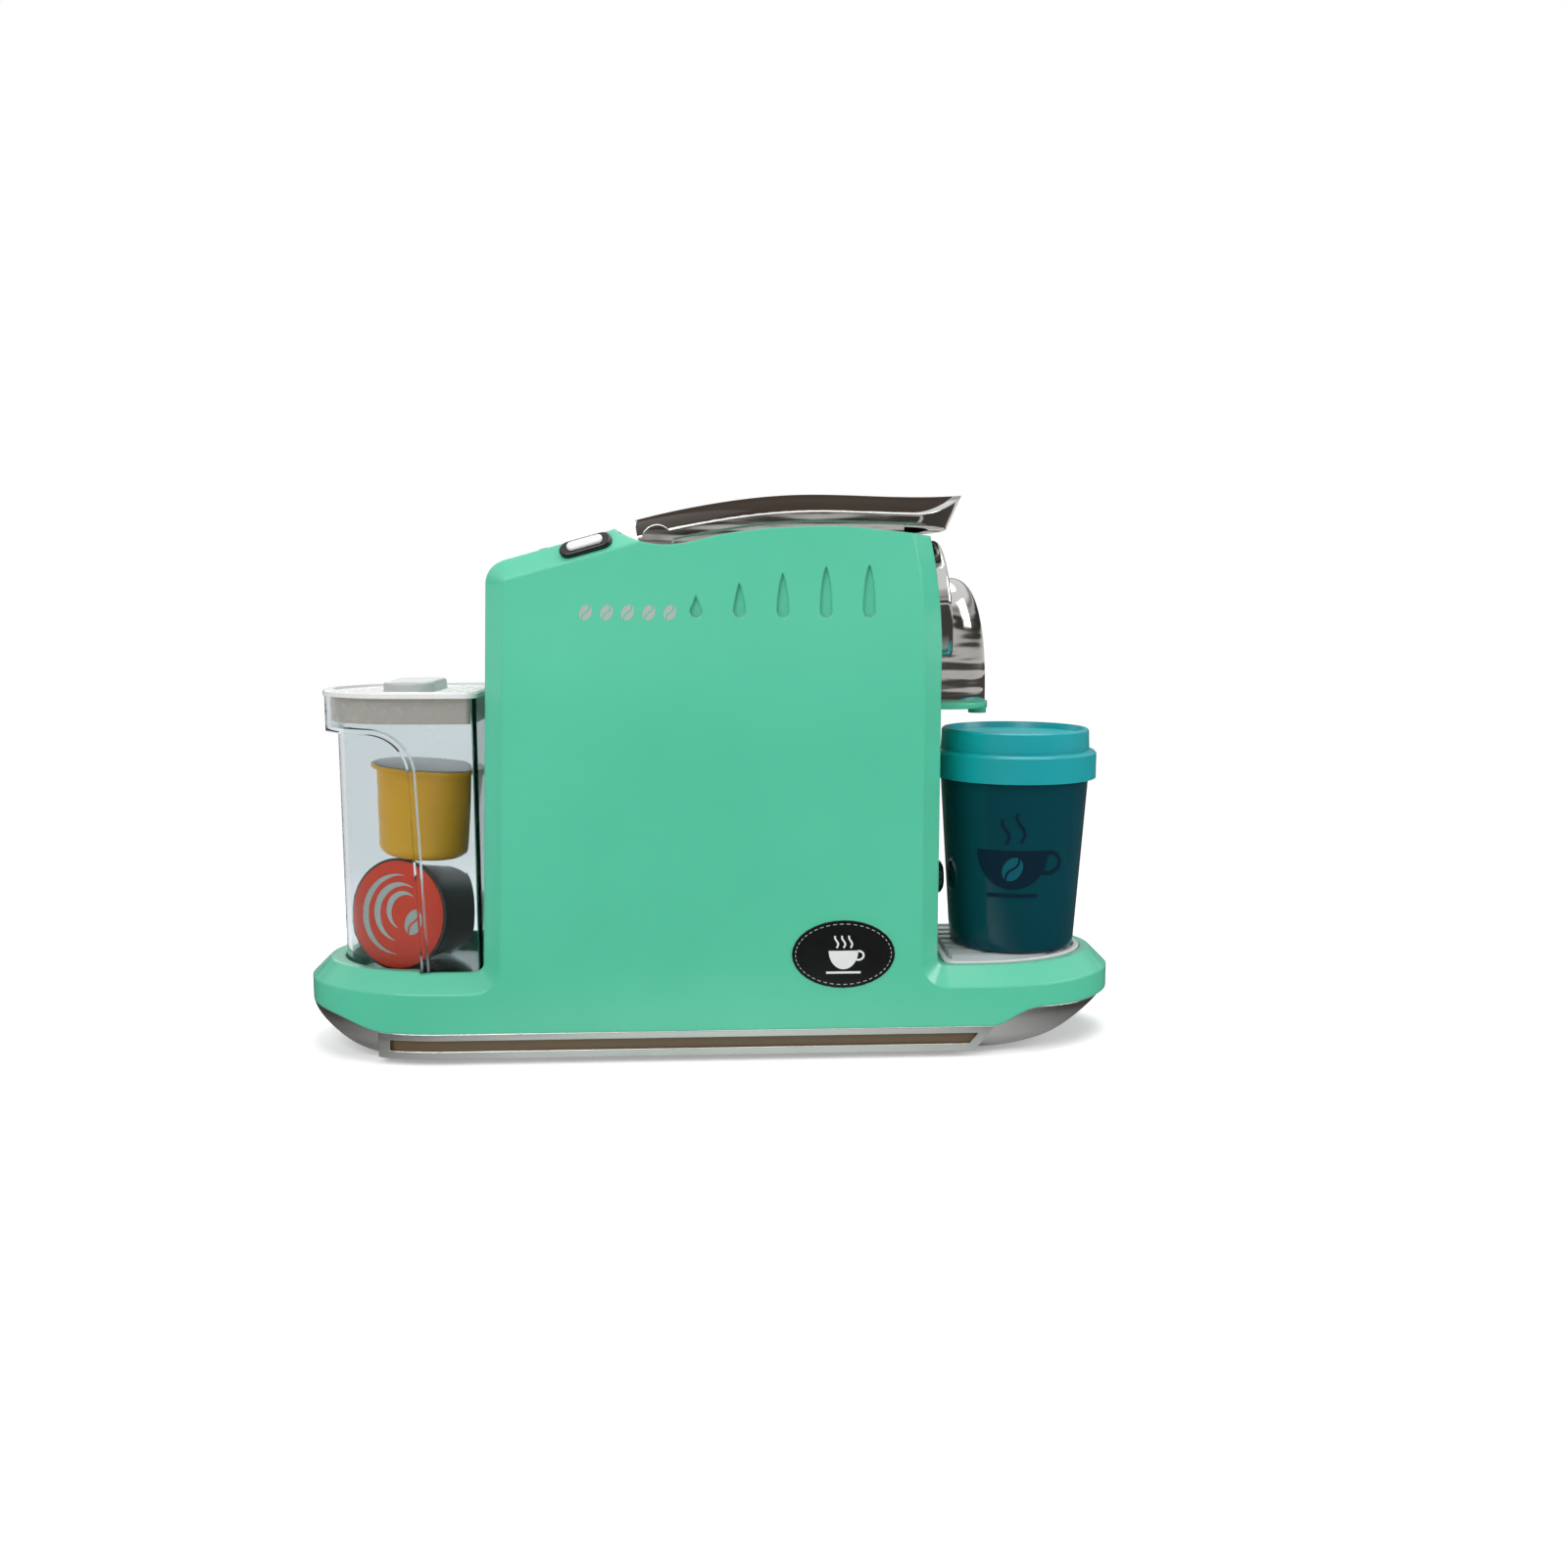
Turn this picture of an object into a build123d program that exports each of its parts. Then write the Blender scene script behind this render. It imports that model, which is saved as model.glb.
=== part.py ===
"""Toy capsule coffee machine, built up from its separate pieces.

The frame stands on the table: X runs to the spout at the front, Y to the machine's left, Z up.
The origin is at the middle of the base, on the table. All sizes are in millimetres.
"""

import os
from math import atan2, cos, degrees, hypot, radians, sin, sqrt

from build123d import *

# ---------------------------------------------------------------- driving dimensions
# Housing, two moulded halves that meet on the plane Y = 0
base_length = 277.0
base_width = 72.0
half_length = base_length / 2
half_width = base_width / 2
end_length = 50.5        # length of each elliptical end of the base
wall = 2.4               # moulded wall of the housing
seam_z = 10.3            # where the housing sits on the plinth
deck_z = 29.5            # top of the base in front of and behind the tower
bevel = 6.2              # bevel round each side face
rear_wall_x = -75.8      # tower's rear wall at the deck
rear_top_x = -71.6       # the same wall at its top
shoulder_z = 161.0       # where the rear wall turns into the rear slope
shoulder_round = 8.0
ridge_x = -30.8
ridge_z = 172.4
saddle_x = -15.3         # low point of the side line, under the lever's hinge
saddle_z = 167.3
brow_x = -1.7            # the side line rises again through here
brow_z = 169.6
crest_x = 42.0           # high point of the side line
crest_z = 173.2
front_wall_x = 73.8
front_lean_z = 128.0     # above this the front wall leans back
front_top_x = 69.6
front_top_z = 170.4
front_mid_z = 153.0      # the leaning part bows out by this height
front_mid_back = 1.2
corner_round = 3.0       # inner corners where the tower meets the decks

# Side recesses
slot_heights = (6.9, 10.8, 13.9, 16.0, 16.5)
slot_first_x = -5.4
slot_pitch = 13.7
slot_z = 144.7
slot_width = 3.8
slot_depth = 1.2
slot_shoulder = 6.0      # how far below its tip a recess starts to narrow

# Plinth: a boat-like pan with an upright band along each side
foot_drop = 2.0          # feet stand this far below the pan
pan_z = foot_drop
plinth_wall = 2.6
pan_top_z = pan_z + plinth_wall
hull_top_z = 17.0
hull_sections = ((pan_z, 5.0), (5.5, 2.4), (10.0, 0.8), (hull_top_z, 0.0))   # height, how far set in
band_rear_x = 28.5 - half_length
band_front_x = half_length - 53.1
band_slant = 0.86        # the band's front end leans forward by this share of its height
groove_depth = 1.4
groove_low = 4.5
groove_high = 8.1
groove_rear_x = 32.5 - half_length
groove_front_x = half_length - 51.6
groove_slant = 2.9
seam_rise_x = half_length - 47.5     # the seam rises from here to the bow
bow_seam = ((half_length - 35.5, 15.0), (half_length - 23.5, 15.6))
bow_seam_z = 16.2
stern_seam = (16.5 - half_length, 13.6)
stern_seam_z = 15.5
keel_front_x = half_length - 49.5    # the pan's bottom sweeps up beyond these two
keel_rear_x = 31.0 - half_length
bow_keel = ((14.0, 1.7), (23.0, 4.1), (34.4, 9.7))   # run and rise from the keel's front end
bow_rise = 21.5
stern_keel = (20.0, 7.5)
stern_rise = 17.0
end_floor_front_x = half_length - 16.5   # the housing is floored beyond these two
end_floor_rear_x = 12.5 - half_length

# Lever
channel_half = half_width - 4.3      # half the width of the channel that the lever closes into
channel_front_x = 62.0
channel_z = 161.0
lever_half = channel_half - 0.5
lever_rear_x = -25.6
lever_tip_x = 84.2
lever_heel_x = 78.0      # where the nose ends at its underside
lever_nose = 14.0        # length of the rounded nose
lever_crown = 7.4        # height of the crown over the side rails
lever_rim = 0.9          # chrome edge left beside the inlay
lever_nose_rim = 3.0     # chrome left in front of the inlay
lever_rail = 5.0         # thickness of the side rails
lever_ceiling = 1.8      # frame left under the inlay
inlay_thickness = 1.6
band_height = 3.1        # proud upper facet of the chrome band
band_step = 0.8
lever_top = ((lever_rear_x, 176.8), (-1.7, 182.0), (28.0, 185.3), (60.0, 184.8), (lever_tip_x, 185.3))
pivot_x = -17.5
pivot_z = 168.8
knuckle_r = 5.0          # round end of each rail about the hinge pin
pin_d = 3.0
pin_clearance = 0.05
pin_reach = lever_half - 2.8         # half the length of the hinge pin
lug_y = 11.0             # middle of each hinge lug on the housing
lug_thickness = 5.0
lug_r = 2.6
tail_clearance = 0.5     # between the lever's swinging tail and the rear of the channel
tail_z = 170.6           # underside of the tail, trimmed so that it clears the channel floor
rail_low_z = 166.5       # underside of the rails inside the channel
nose_low_z = 173.6       # underside of the nose in front of the channel

# Capsules and their chamber
capsule_rim_d = 38.0
capsule_top_d = 34.4
capsule_base_d = 30.0
capsule_height = 31.0
capsule_wall = 1.0
capsule_round = 4.0
capsule_rim_thickness = 1.2
film_thickness = 0.4
film_d = capsule_rim_d - 1.8
chamber_x = 36.0
chamber_clearance = 0.6
chamber_wall = 1.8
chamber_flange = 1.2
chamber_depth = 33.0

# Controls
pod_x = -40.5
pod_length = 17.0
pod_width = 6.4
pod_height = 1.6
button_length = 11.6
button_width = 3.4
button_proud = 0.9
button_clearance = 0.25
button_flange = 0.9
plunger_d = 2.4
plunger_reach = 3.2
post_reach = 5.4         # depth of the switch board under the shoulder
knob_x = -56.0
knob_length = 3.4
knob_width = 8.0
knob_height = 1.9
knob_travel = 3.0
stem_length = 2.0
stem_width = 4.0

# Front fittings
bezel_z = 147.9
bezel_d = 44.0
bezel_depth = 7.0
bezel_seat = 0.3         # the bezel is let into the wall by this much at its middle
hood_half = 13.6
hood_top_z = 157.8
hood_front_x = 93.8
hood_wall = 1.6
hood_round_x = 80.2      # the hood's rounded front starts here
hood_face = ((93.1, 134.0), (91.0, 146.4))   # the front face draws back through these
hood_arch_z = 145.0      # above this the hood is arched
spigot_x = 88.4
spout_spigot_d = 5.0
spout_bore_x = 89.6
spout_bore_d = 1.6
plate_thickness = 2.1
plate_top_z = 115.8
plate_margin = 0.8
nozzle_x = 91.4
nozzle_d = 6.2
nozzle_drop = 2.1
lamp_z = 53.8
lamp_d = 12.6
lamp_depth = 6.6
lamp_lens_d = 6.2
led_d = 5.0

# Water tank
tank_rear_x = 7.8 - half_length
tank_front_x = rear_wall_x - 0.7
tank_half = half_width - 6.8
tank_curve = 33.0        # length of the tank's rounded rear end
tank_wall = 1.6
tank_step = 4.0          # the lower rear part is set in by this
tank_step_x = tank_rear_x + 33.2
tank_step_round = 13.0
tank_collar_z = 107.0
tank_top_z = 118.8
tank_base_z = 24.0
recess_depth = 5.9       # how deep the tank sits in the rear deck
tank_clearance = 0.5
lid_clearance = 0.35
lid_flange = 2.0
lid_plug = 8.4
lid_wall = 1.6
lid_sink = 0.8           # depth of the lid's dished top
grip_length = 16.8
grip_width = 33.0
grip_height = 2.6
grip_x = tank_rear_x + 29.9
outlet_x = tank_rear_x + 27.7
spigot_d = 10.0
spigot_length = 5.2
valve_stem_d = 3.0
valve_head_d = 7.0
valve_rest_z = 21.2
valve_stem_low_z = 17.3
seat_d = 16.0            # the outlet's socket in the recess floor
seat_cup_d = 14.4
seat_bore_d = 11.0
seat_floor_z = 14.0
seat_flange = 1.2
seat_pin_d = 2.4         # pin that lifts the valve when the tank is seated
seal_d = 13.0
seal_height = 2.0

# The two capsules kept in the tank
upright_x = tank_rear_x + 30.7
upright_z = 63.4
upright_tilt = 5.0
lying_axis = (0.40, 0.917)
lying_rim = (tank_rear_x + 34.3 - 0.36 * tank_half, tank_half - 40.6)

# Drip tray and cup
tray_rear_x = front_wall_x + 2.6
tray_front_x = half_length - 9.5
tray_half = half_width - 7.6
tray_recess = 2.6
tray_clearance = 0.3
tray_rim = 0.7           # how far the tray's rim stands over the deck
bar_width = 3.2
bar_pitch = 6.6
bar_rows = 4             # bars on each side of the middle one
cup_x = front_wall_x + 31.0
cup_base_z = 30.6
cup_rim_z = 93.5
cup_base_r = 21.6
cup_rim_r = 25.7
cup_wall = 1.6
lid_band_r = 28.0
lid_band_low_z = 89.6
lid_band_high_z = 98.9
lid_top_r = 25.6
lid_top_z = 106.4
sip_hole_d = 7.0

# Pump, hoses and electrics
pump_x = -64.0           # middle of the pump chamber
pump_d = 21.2
pump_length = 12.0
pump_wall = 1.6
barb_length = 7.0
impeller_d = 16.0
motor_d = 20.4
motor_flat = 15.4
motor_length = 24.0
motor_shaft_d = 2.0
inlet_bore_d = 4.0
inlet_hose_d = 6.4
outlet_bore_d = 3.0
outlet_hose_d = 5.0
hose_z = 120.0
hose_bend = 14.0
cell_d = 14.5
cell_length = 49.0
cell_count = 3
cell_gap = 0.6
cell_nub = 1.3
box_wall = 1.6
speaker_x = 55.0
speaker_d = 28.0
board_length = 48.0
board_width = 38.0
board_thickness = 1.6
screw_d = 2.6
screw_head_d = 5.4
boss_d = 7.0
screw_seat_y = 14.0
screw_tip_y = -6.0
plate_lip = 1.4          # the base plate's lip, held between the pan and the posts
post_y = half_width - 6.5
post_d = 6.4
post_top_z = 16.2
door_screw_x = 36.0
door_screw_length = 9.0
foot_y = half_width - 16.0
foot_d = 10.0
foot_height = 3.2
foot_front_x = half_length - 54.5
foot_rear_x = 40.5 - half_length

# ---------------------------------------------------------------- derived values
end_x = half_length - end_length     # the elliptical ends start here
slope_angle = atan2(ridge_z - shoulder_z, ridge_x - rear_top_x)
tail_reach = hypot(pivot_x - lever_rear_x, lever_top[0][1] - pivot_z)
channel_rear_x = pivot_x - tail_reach - tail_clearance
channel_floor_low = channel_z - wall
recess_z = deck_z - recess_depth
recess_low_z = recess_z - wall
tray_floor_z = deck_z - tray_recess
bezel_tilt = degrees(atan2(front_wall_x - front_top_x, front_top_z - front_lean_z))
chamber_inner_d = capsule_rim_d + 2 * chamber_clearance
chamber_bore_d = chamber_inner_d + 2 * chamber_wall + 0.3
pod_neck_length = button_length + 2.4
pod_neck_width = button_width + 2.4
lever_crown_r = (lever_half**2 + lever_crown**2) / (2 * lever_crown)
plate_top = pan_top_z + plate_lip
door_z = pan_z + box_wall
cell_z = door_z + 0.95 + cell_d / 2
box_roof_z = cell_z + cell_d / 2 + 0.75 + box_wall
board_z = box_roof_z + 3.8
box_half_x = cell_length / 2 + 5.0
box_half_y = (cell_count * cell_d + (cell_count - 1) * cell_gap) / 2 + 0.65
door_rear_x = -box_half_x - 4.5
door_front_x = door_screw_x + 4.5
door_half = box_half_y + 1.4
window_rear_x = door_rear_x - 28.0
window_front_x = speaker_x + speaker_d / 2 + 5.0
window_half = door_half + 2.1
lip_half = half_width - plinth_wall - 0.6
pump_z = plate_top + 0.1 + pump_d / 2
pump_rear_x = pump_x - pump_length / 2
motor_x = pump_x + pump_length / 2 + 1.0
motor_rib_x = motor_x + 5.0
tank_floor_z = tank_base_z + tank_wall
spigot_low_z = tank_base_z - spigot_length
lid_z = tank_top_z + 0.1
lid_ceiling_z = lid_top_z - 2.0
post_spots = [(x, y) for x in (-55.0, 66.0) for y in (post_y, -post_y)]
foot_spots = [(x, y) for x in (foot_rear_x, foot_front_x) for y in (foot_y, -foot_y)]
boss_spots = (
    (18.5 - half_length, 16.6), (half_length - 24.5, 19.0),
    (-50.0, 146.0), (65.0, 147.0), (-48.0, 60.0), (58.0, 60.0),
)

os.makedirs("parts", exist_ok=True)


def save(piece, name):
    """Label a finished piece and write it as its own STEP file."""
    piece.part.label = name
    export_step(piece.part, f"parts/{name}.step")


def slope_z(x):
    """Height of the rear slope over a place along X."""
    return shoulder_z + (x - rear_top_x) * (ridge_z - shoulder_z) / (ridge_x - rear_top_x)


# ---------------------------------------------------------------- housing forms
def plan_outline(inset=0.0):
    """The base seen from above: straight sides and two elliptical ends."""
    reach = end_length - inset
    half = half_width - inset
    with BuildSketch() as outline:
        with BuildLine():
            Line((-end_x, half), (end_x, half))
            EllipticalCenterArc((end_x, 0), reach, half, start_angle=-90, arc_size=180)
            Line((end_x, -half), (-end_x, -half))
            EllipticalCenterArc((-end_x, 0), reach, half, start_angle=90, arc_size=180)
        make_face()
    return outline.sketch


def corner_at(outline, x, z):
    """The corner of an upright sketch nearest to a place in X and Z."""
    return outline.vertices().sort_by(lambda v: (v.X - x) ** 2 + (v.Y - z) ** 2)[0]


def side_outline(inset=0.0):
    """The housing seen from its side, run out past both ends of the base."""
    beyond = half_length + 10
    with BuildSketch(Plane.XZ.offset(-(half_width - inset))) as outline:
        with BuildLine():
            Polyline((-beyond, -10), (-beyond, deck_z), (rear_wall_x, deck_z), (rear_top_x, shoulder_z),
                     (ridge_x, ridge_z))
            TangentArc((saddle_x, saddle_z), (ridge_x, ridge_z), tangent=(-1, 0))
            Spline((saddle_x, saddle_z), (brow_x, brow_z), (crest_x, crest_z), tangents=((1, 0), (1, 0)))
            Line((crest_x, crest_z), (front_top_x, front_top_z))
            ThreePointArc((front_top_x, front_top_z), (front_wall_x - front_mid_back, front_mid_z),
                          (front_wall_x, front_lean_z))
            Polyline((front_wall_x, front_lean_z), (front_wall_x, deck_z), (beyond, deck_z),
                     (beyond, -10), (-beyond, -10))
        make_face()
        fillet(corner_at(outline, rear_top_x, shoulder_z), shoulder_round)
        fillet(corner_at(outline, rear_wall_x, deck_z), corner_round)
        fillet(corner_at(outline, front_wall_x, deck_z), corner_round)
        if inset:
            offset(amount=-inset, kind=Kind.INTERSECTION)
    return outline.sketch


def housing_form(inset=0.0):
    """The housing as one closed form; an inset gives the inside of its wall."""
    edge = bevel - inset * (2 - sqrt(2))
    half = half_width - inset
    with BuildPart() as base:
        with BuildSketch(Plane.XY.offset(-10)):
            add(plan_outline(inset))
        extrude(amount=deck_z - inset + 10)
        chamfer(base.faces().sort_by(Axis.Z)[-1].edges(), edge)
        with Locations((0, 0, deck_z)):
            Box(2 * end_x, 2 * half, 400)
    with BuildPart() as form:
        extrude(side_outline(inset), amount=2 * half, dir=(0, -1, 0))
        rims = form.faces().filter_by(Axis.Y).edges()
        along = rims.filter_by(lambda e: e.center().Z > deck_z - inset - 1 and abs(e.center().X) < half_length + 5)
        crest = along.filter_by(lambda e: e.center().Z > 160 and ridge_x + 1 < e.center().X < front_top_x - 0.5)
        chamfer([e for e in along if e not in crest], edge)
        add(base.part, mode=Mode.INTERSECT)
    return form.part


def box_between(low, high, mode=Mode.ADD):
    """A box from its lowest to its highest corner."""
    size = [b - a for a, b in zip(low, high)]
    with Locations(tuple((a + b) / 2 for a, b in zip(low, high))):
        Box(*size, mode=mode)


def rod(start, direction, length, diameter, mode=Mode.ADD):
    """A round bar from a point along a direction."""
    with BuildSketch(Plane(origin=start, z_dir=direction)) as section:
        Circle(diameter / 2)
    extrude(section.sketch, amount=length, dir=direction, mode=mode)


def seam_block():
    """Everything below the line where the housing meets the plinth."""
    beyond = half_length + 10
    with BuildPart() as block:
        with BuildSketch(Plane.XZ.offset(-beyond)) as outline:
            with BuildLine():
                Line((seam_rise_x, seam_z), (groove_rear_x, seam_z))
                Spline((groove_rear_x, seam_z), stern_seam, (-beyond, stern_seam_z), tangents=((-1, 0), (-1, 0)))
                Polyline((-beyond, stern_seam_z), (-beyond, -30), (beyond, -30), (beyond, bow_seam_z))
                Spline((beyond, bow_seam_z), bow_seam[1], bow_seam[0], (seam_rise_x, seam_z),
                       tangents=((-1, 0), (-1, 0)))
            make_face()
        extrude(outline.sketch, amount=2 * beyond, dir=(0, -1, 0))
    return block.part


def tank_outline(inset=0.0):
    """The tank seen from above: flat front, straight sides, rounded rear."""
    half = tank_half - inset
    curve_x = tank_rear_x + tank_curve
    front = tank_front_x - inset
    with BuildSketch() as outline:
        with BuildLine():
            Polyline((curve_x, -half), (front, -half), (front, half), (curve_x, half))
            EllipticalCenterArc((curve_x, 0), tank_curve - inset, half, start_angle=90, arc_size=180)
        make_face()
        fillet(outline.vertices().group_by(Axis.X)[-1], max(4.0 - inset, 1.5))
    return outline.sketch


def tank_form(low, high, inset=0.0):
    """The tank's body between two heights: full width in front, set in at the lower rear."""
    with BuildSketch(Plane.XZ.offset(-tank_half - 5)) as side:
        with BuildLine():
            Polyline((-150, 200), (-150, tank_collar_z), (tank_step_x - 1.5, tank_collar_z),
                     (tank_step_x + 2.5, 0), (0, 0), (0, 200), (-150, 200))
        make_face()
        fillet(corner_at(side, tank_step_x - 1.5, tank_collar_z), tank_step_round)
        if inset:
            offset(amount=-inset, kind=Kind.INTERSECTION)
    with BuildPart() as form:
        with BuildSketch(Plane.XY.offset(low)):
            add(tank_outline(inset))
        extrude(amount=high - low)
        extrude(side.sketch, amount=2 * tank_half + 10, dir=(0, -1, 0), mode=Mode.INTERSECT)
        with BuildSketch(Plane.XY.offset(low)):
            add(tank_outline(inset + tank_step))
        extrude(amount=high - low)
    return form.part


def tray_outline(inset=0.0):
    """The drip tray seen from above: its front follows the end of the base."""
    half = tray_half - inset
    with BuildSketch() as outline:
        with BuildLine():
            Polyline((end_x, half), (tray_rear_x + inset, half), (tray_rear_x + inset, -half), (end_x, -half))
            EllipticalCenterArc((end_x, 0), tray_front_x - end_x - inset, half, start_angle=-90, arc_size=180)
        make_face()
        fillet(outline.vertices().group_by(Axis.X)[0], 4.0)
    return outline.sketch


outer_form = housing_form()
inner_form = housing_form(wall)
below_seam = seam_block()
slope_dir = (cos(slope_angle), 0, sin(slope_angle))
slope_up = (-sin(slope_angle), 0, cos(slope_angle))
pod_plane = Plane(
    origin=(pod_x + sin(slope_angle) * bevel / 2, bevel / 2 - half_width, slope_z(pod_x) - cos(slope_angle) * bevel / 2),
    x_dir=slope_dir,
    z_dir=(-sin(slope_angle), -1, cos(slope_angle)),
)
knob_plane = Plane(origin=(knob_x, 0, slope_z(knob_x)), x_dir=slope_dir, z_dir=slope_up)
wall_share = (bezel_z - front_lean_z) / (front_top_z - front_lean_z)
bezel_normal = (cos(radians(bezel_tilt)), 0, sin(radians(bezel_tilt)))
bezel_plane = Plane(
    origin=(front_wall_x - wall_share * (front_wall_x - front_top_x) - bezel_seat, 0, bezel_z),
    x_dir=(0, 1, 0),
    z_dir=bezel_normal,
)


# ---------------------------------------------------------------- housing halves
def housing_inside():
    """What is moulded inside the housing: pocket walls, channel floor, posts and bosses."""
    with BuildPart() as solid:
        box_between((channel_rear_x - wall, -half_width, channel_floor_low),
                    (channel_front_x + wall, half_width, ridge_z + 5))
        with BuildSketch(Plane.XY.offset(tray_floor_z - wall)):
            add(tray_outline(-wall))
        extrude(amount=tray_recess + wall)
        add(tank_form(recess_low_z, deck_z, -tank_clearance - wall))
        # floors over the swept-up ends of the plinth
        box_between((end_floor_front_x, -half_width, bow_seam_z - 3), (half_length, half_width, bow_seam_z + wall))
        box_between((-half_length, -half_width, stern_seam_z - 3), (end_floor_rear_x, half_width, stern_seam_z + wall))
        for x, z in boss_spots:
            rod((x, -half_width, z), (0, 1, 0), half_width, boss_d)
            rod((x, 0, z), (0, 1, 0), half_width, screw_head_d + 2 * wall)
        with Locations(pod_plane.offset(-post_reach)):
            with Locations((-9.2, 0), (8.4, 0)):
                Cylinder(1.3, post_reach, align=(Align.CENTER, Align.CENTER, Align.MIN))
        add(outer_form, mode=Mode.INTERSECT)
    return solid.part


def housing():
    """Both halves in one piece, before the parting cut."""
    with BuildPart() as body:
        add(outer_form)
        add(inner_form, mode=Mode.SUBTRACT)
        add(housing_inside())
        add(below_seam, mode=Mode.SUBTRACT)
        # the channel that the lever closes into, and the round mouth of the capsule chamber
        box_between((channel_rear_x, -channel_half, channel_z), (channel_front_x, channel_half, ridge_z + 5),
                    mode=Mode.SUBTRACT)
        rod((chamber_x, 0, 0), (0, 0, 1), 200, chamber_bore_d, mode=Mode.SUBTRACT)
        # recesses for the drip tray and the tank, with the seat's hole in the tank recess
        with BuildSketch(Plane.XY.offset(tray_floor_z)):
            add(tray_outline())
        extrude(amount=10, mode=Mode.SUBTRACT)
        add(tank_form(recess_z, deck_z + 60, -tank_clearance), mode=Mode.SUBTRACT)
        rod((outlet_x, 0, 0), (0, 0, 1), deck_z, seat_d, mode=Mode.SUBTRACT)
        # front wall: hose, lamp and the bezel's flat seat
        rod((front_wall_x - 10, 0, hose_z), (1, 0, 0), 20, outlet_hose_d + 1, mode=Mode.SUBTRACT)
        rod((front_wall_x - 10, 0, lamp_z), (1, 0, 0), 20, led_d + 0.2, mode=Mode.SUBTRACT)
        rod(bezel_plane.origin, bezel_normal, 20, bezel_d + 0.3, mode=Mode.SUBTRACT)
        # start button and slide knob
        with BuildSketch(pod_plane.offset(-2 * wall)) as button_hole:
            SlotOverall(pod_neck_length, pod_neck_width)
        extrude(button_hole.sketch, amount=4 * wall, dir=tuple(pod_plane.z_dir), mode=Mode.SUBTRACT)
        with BuildSketch(knob_plane.offset(-2 * wall)) as knob_slot:
            with Locations((knob_travel / 2, 0)):
                Rectangle(stem_length + knob_travel + 0.6, stem_width + 0.6)
        extrude(knob_slot.sketch, amount=4 * wall, dir=slope_up, mode=Mode.SUBTRACT)
        # hinge lugs standing on the channel floor
        for side in (-1, 1):
            with BuildSketch(Plane.XZ.offset(-side * lug_y - lug_thickness / 2)) as lug:
                with Locations((pivot_x, pivot_z)):
                    Circle(lug_r)
                with Locations((pivot_x, (pivot_z + channel_z) / 2)):
                    Rectangle(2 * lug_r, pivot_z - channel_z)
                with Locations((pivot_x, pivot_z)):
                    Circle(pin_d / 2, mode=Mode.SUBTRACT)
            extrude(lug.sketch, amount=lug_thickness, dir=(0, -1, 0))
        # drop-shaped recesses in both side faces
        for side in (-1, 1):
            for place, height in enumerate(slot_heights):
                x = slot_first_x + place * slot_pitch
                with BuildSketch(Plane.XZ.offset(-side * half_width)) as drop:
                    with BuildLine():
                        tip = (x, slot_z + height)
                        left = (x - slot_width / 2, slot_z + slot_width / 2)
                        right = (x + slot_width / 2, slot_z + slot_width / 2)
                        ThreePointArc(left, (x, slot_z), right)
                        shoulder = min(height * 0.5, slot_shoulder)
                        Spline(right, (x + slot_width * 0.36, tip[1] - shoulder), tip, tangents=((0, 1), (-0.45, 1)))
                        Spline(tip, (x - slot_width * 0.36, tip[1] - shoulder), left, tangents=((-0.45, -1), (0, -1)))
                    make_face()
                extrude(drop.sketch, amount=side * slot_depth, mode=Mode.SUBTRACT)
        # posts that hold the pan and the base plate, each tied to the side wall
        for x, y in post_spots:
            rod((x, y, plate_top), (0, 0, 1), post_top_z - plate_top, post_d)
            side_face = half_width - wall / 2
            box_between((x - 1.5, min(y, y / abs(y) * side_face), seam_z),
                        (x + 1.5, max(y, y / abs(y) * side_face), post_top_z))
            rod((x, y, 0), (0, 0, 1), post_top_z - 2, screw_d, mode=Mode.SUBTRACT)
        # screw holes: pilot in the right half, clearance and head well in the left
        for x, z in boss_spots:
            rod((x, screw_tip_y, z), (0, 1, 0), -screw_tip_y, screw_d, mode=Mode.SUBTRACT)
            rod((x, 0, z), (0, 1, 0), screw_seat_y, screw_d + 0.4, mode=Mode.SUBTRACT)
            rod((x, screw_seat_y, z), (0, 1, 0), half_width, screw_head_d + 1, mode=Mode.SUBTRACT)
    return body.part


whole_housing = housing()
with BuildPart() as right_shell:
    add(whole_housing)
    split(bisect_by=Plane.XZ, keep=Keep.TOP)
save(right_shell, "right_shell")

with BuildPart() as left_shell:
    add(whole_housing)
    split(bisect_by=Plane.XZ, keep=Keep.BOTTOM)
save(left_shell, "left_shell")


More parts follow.
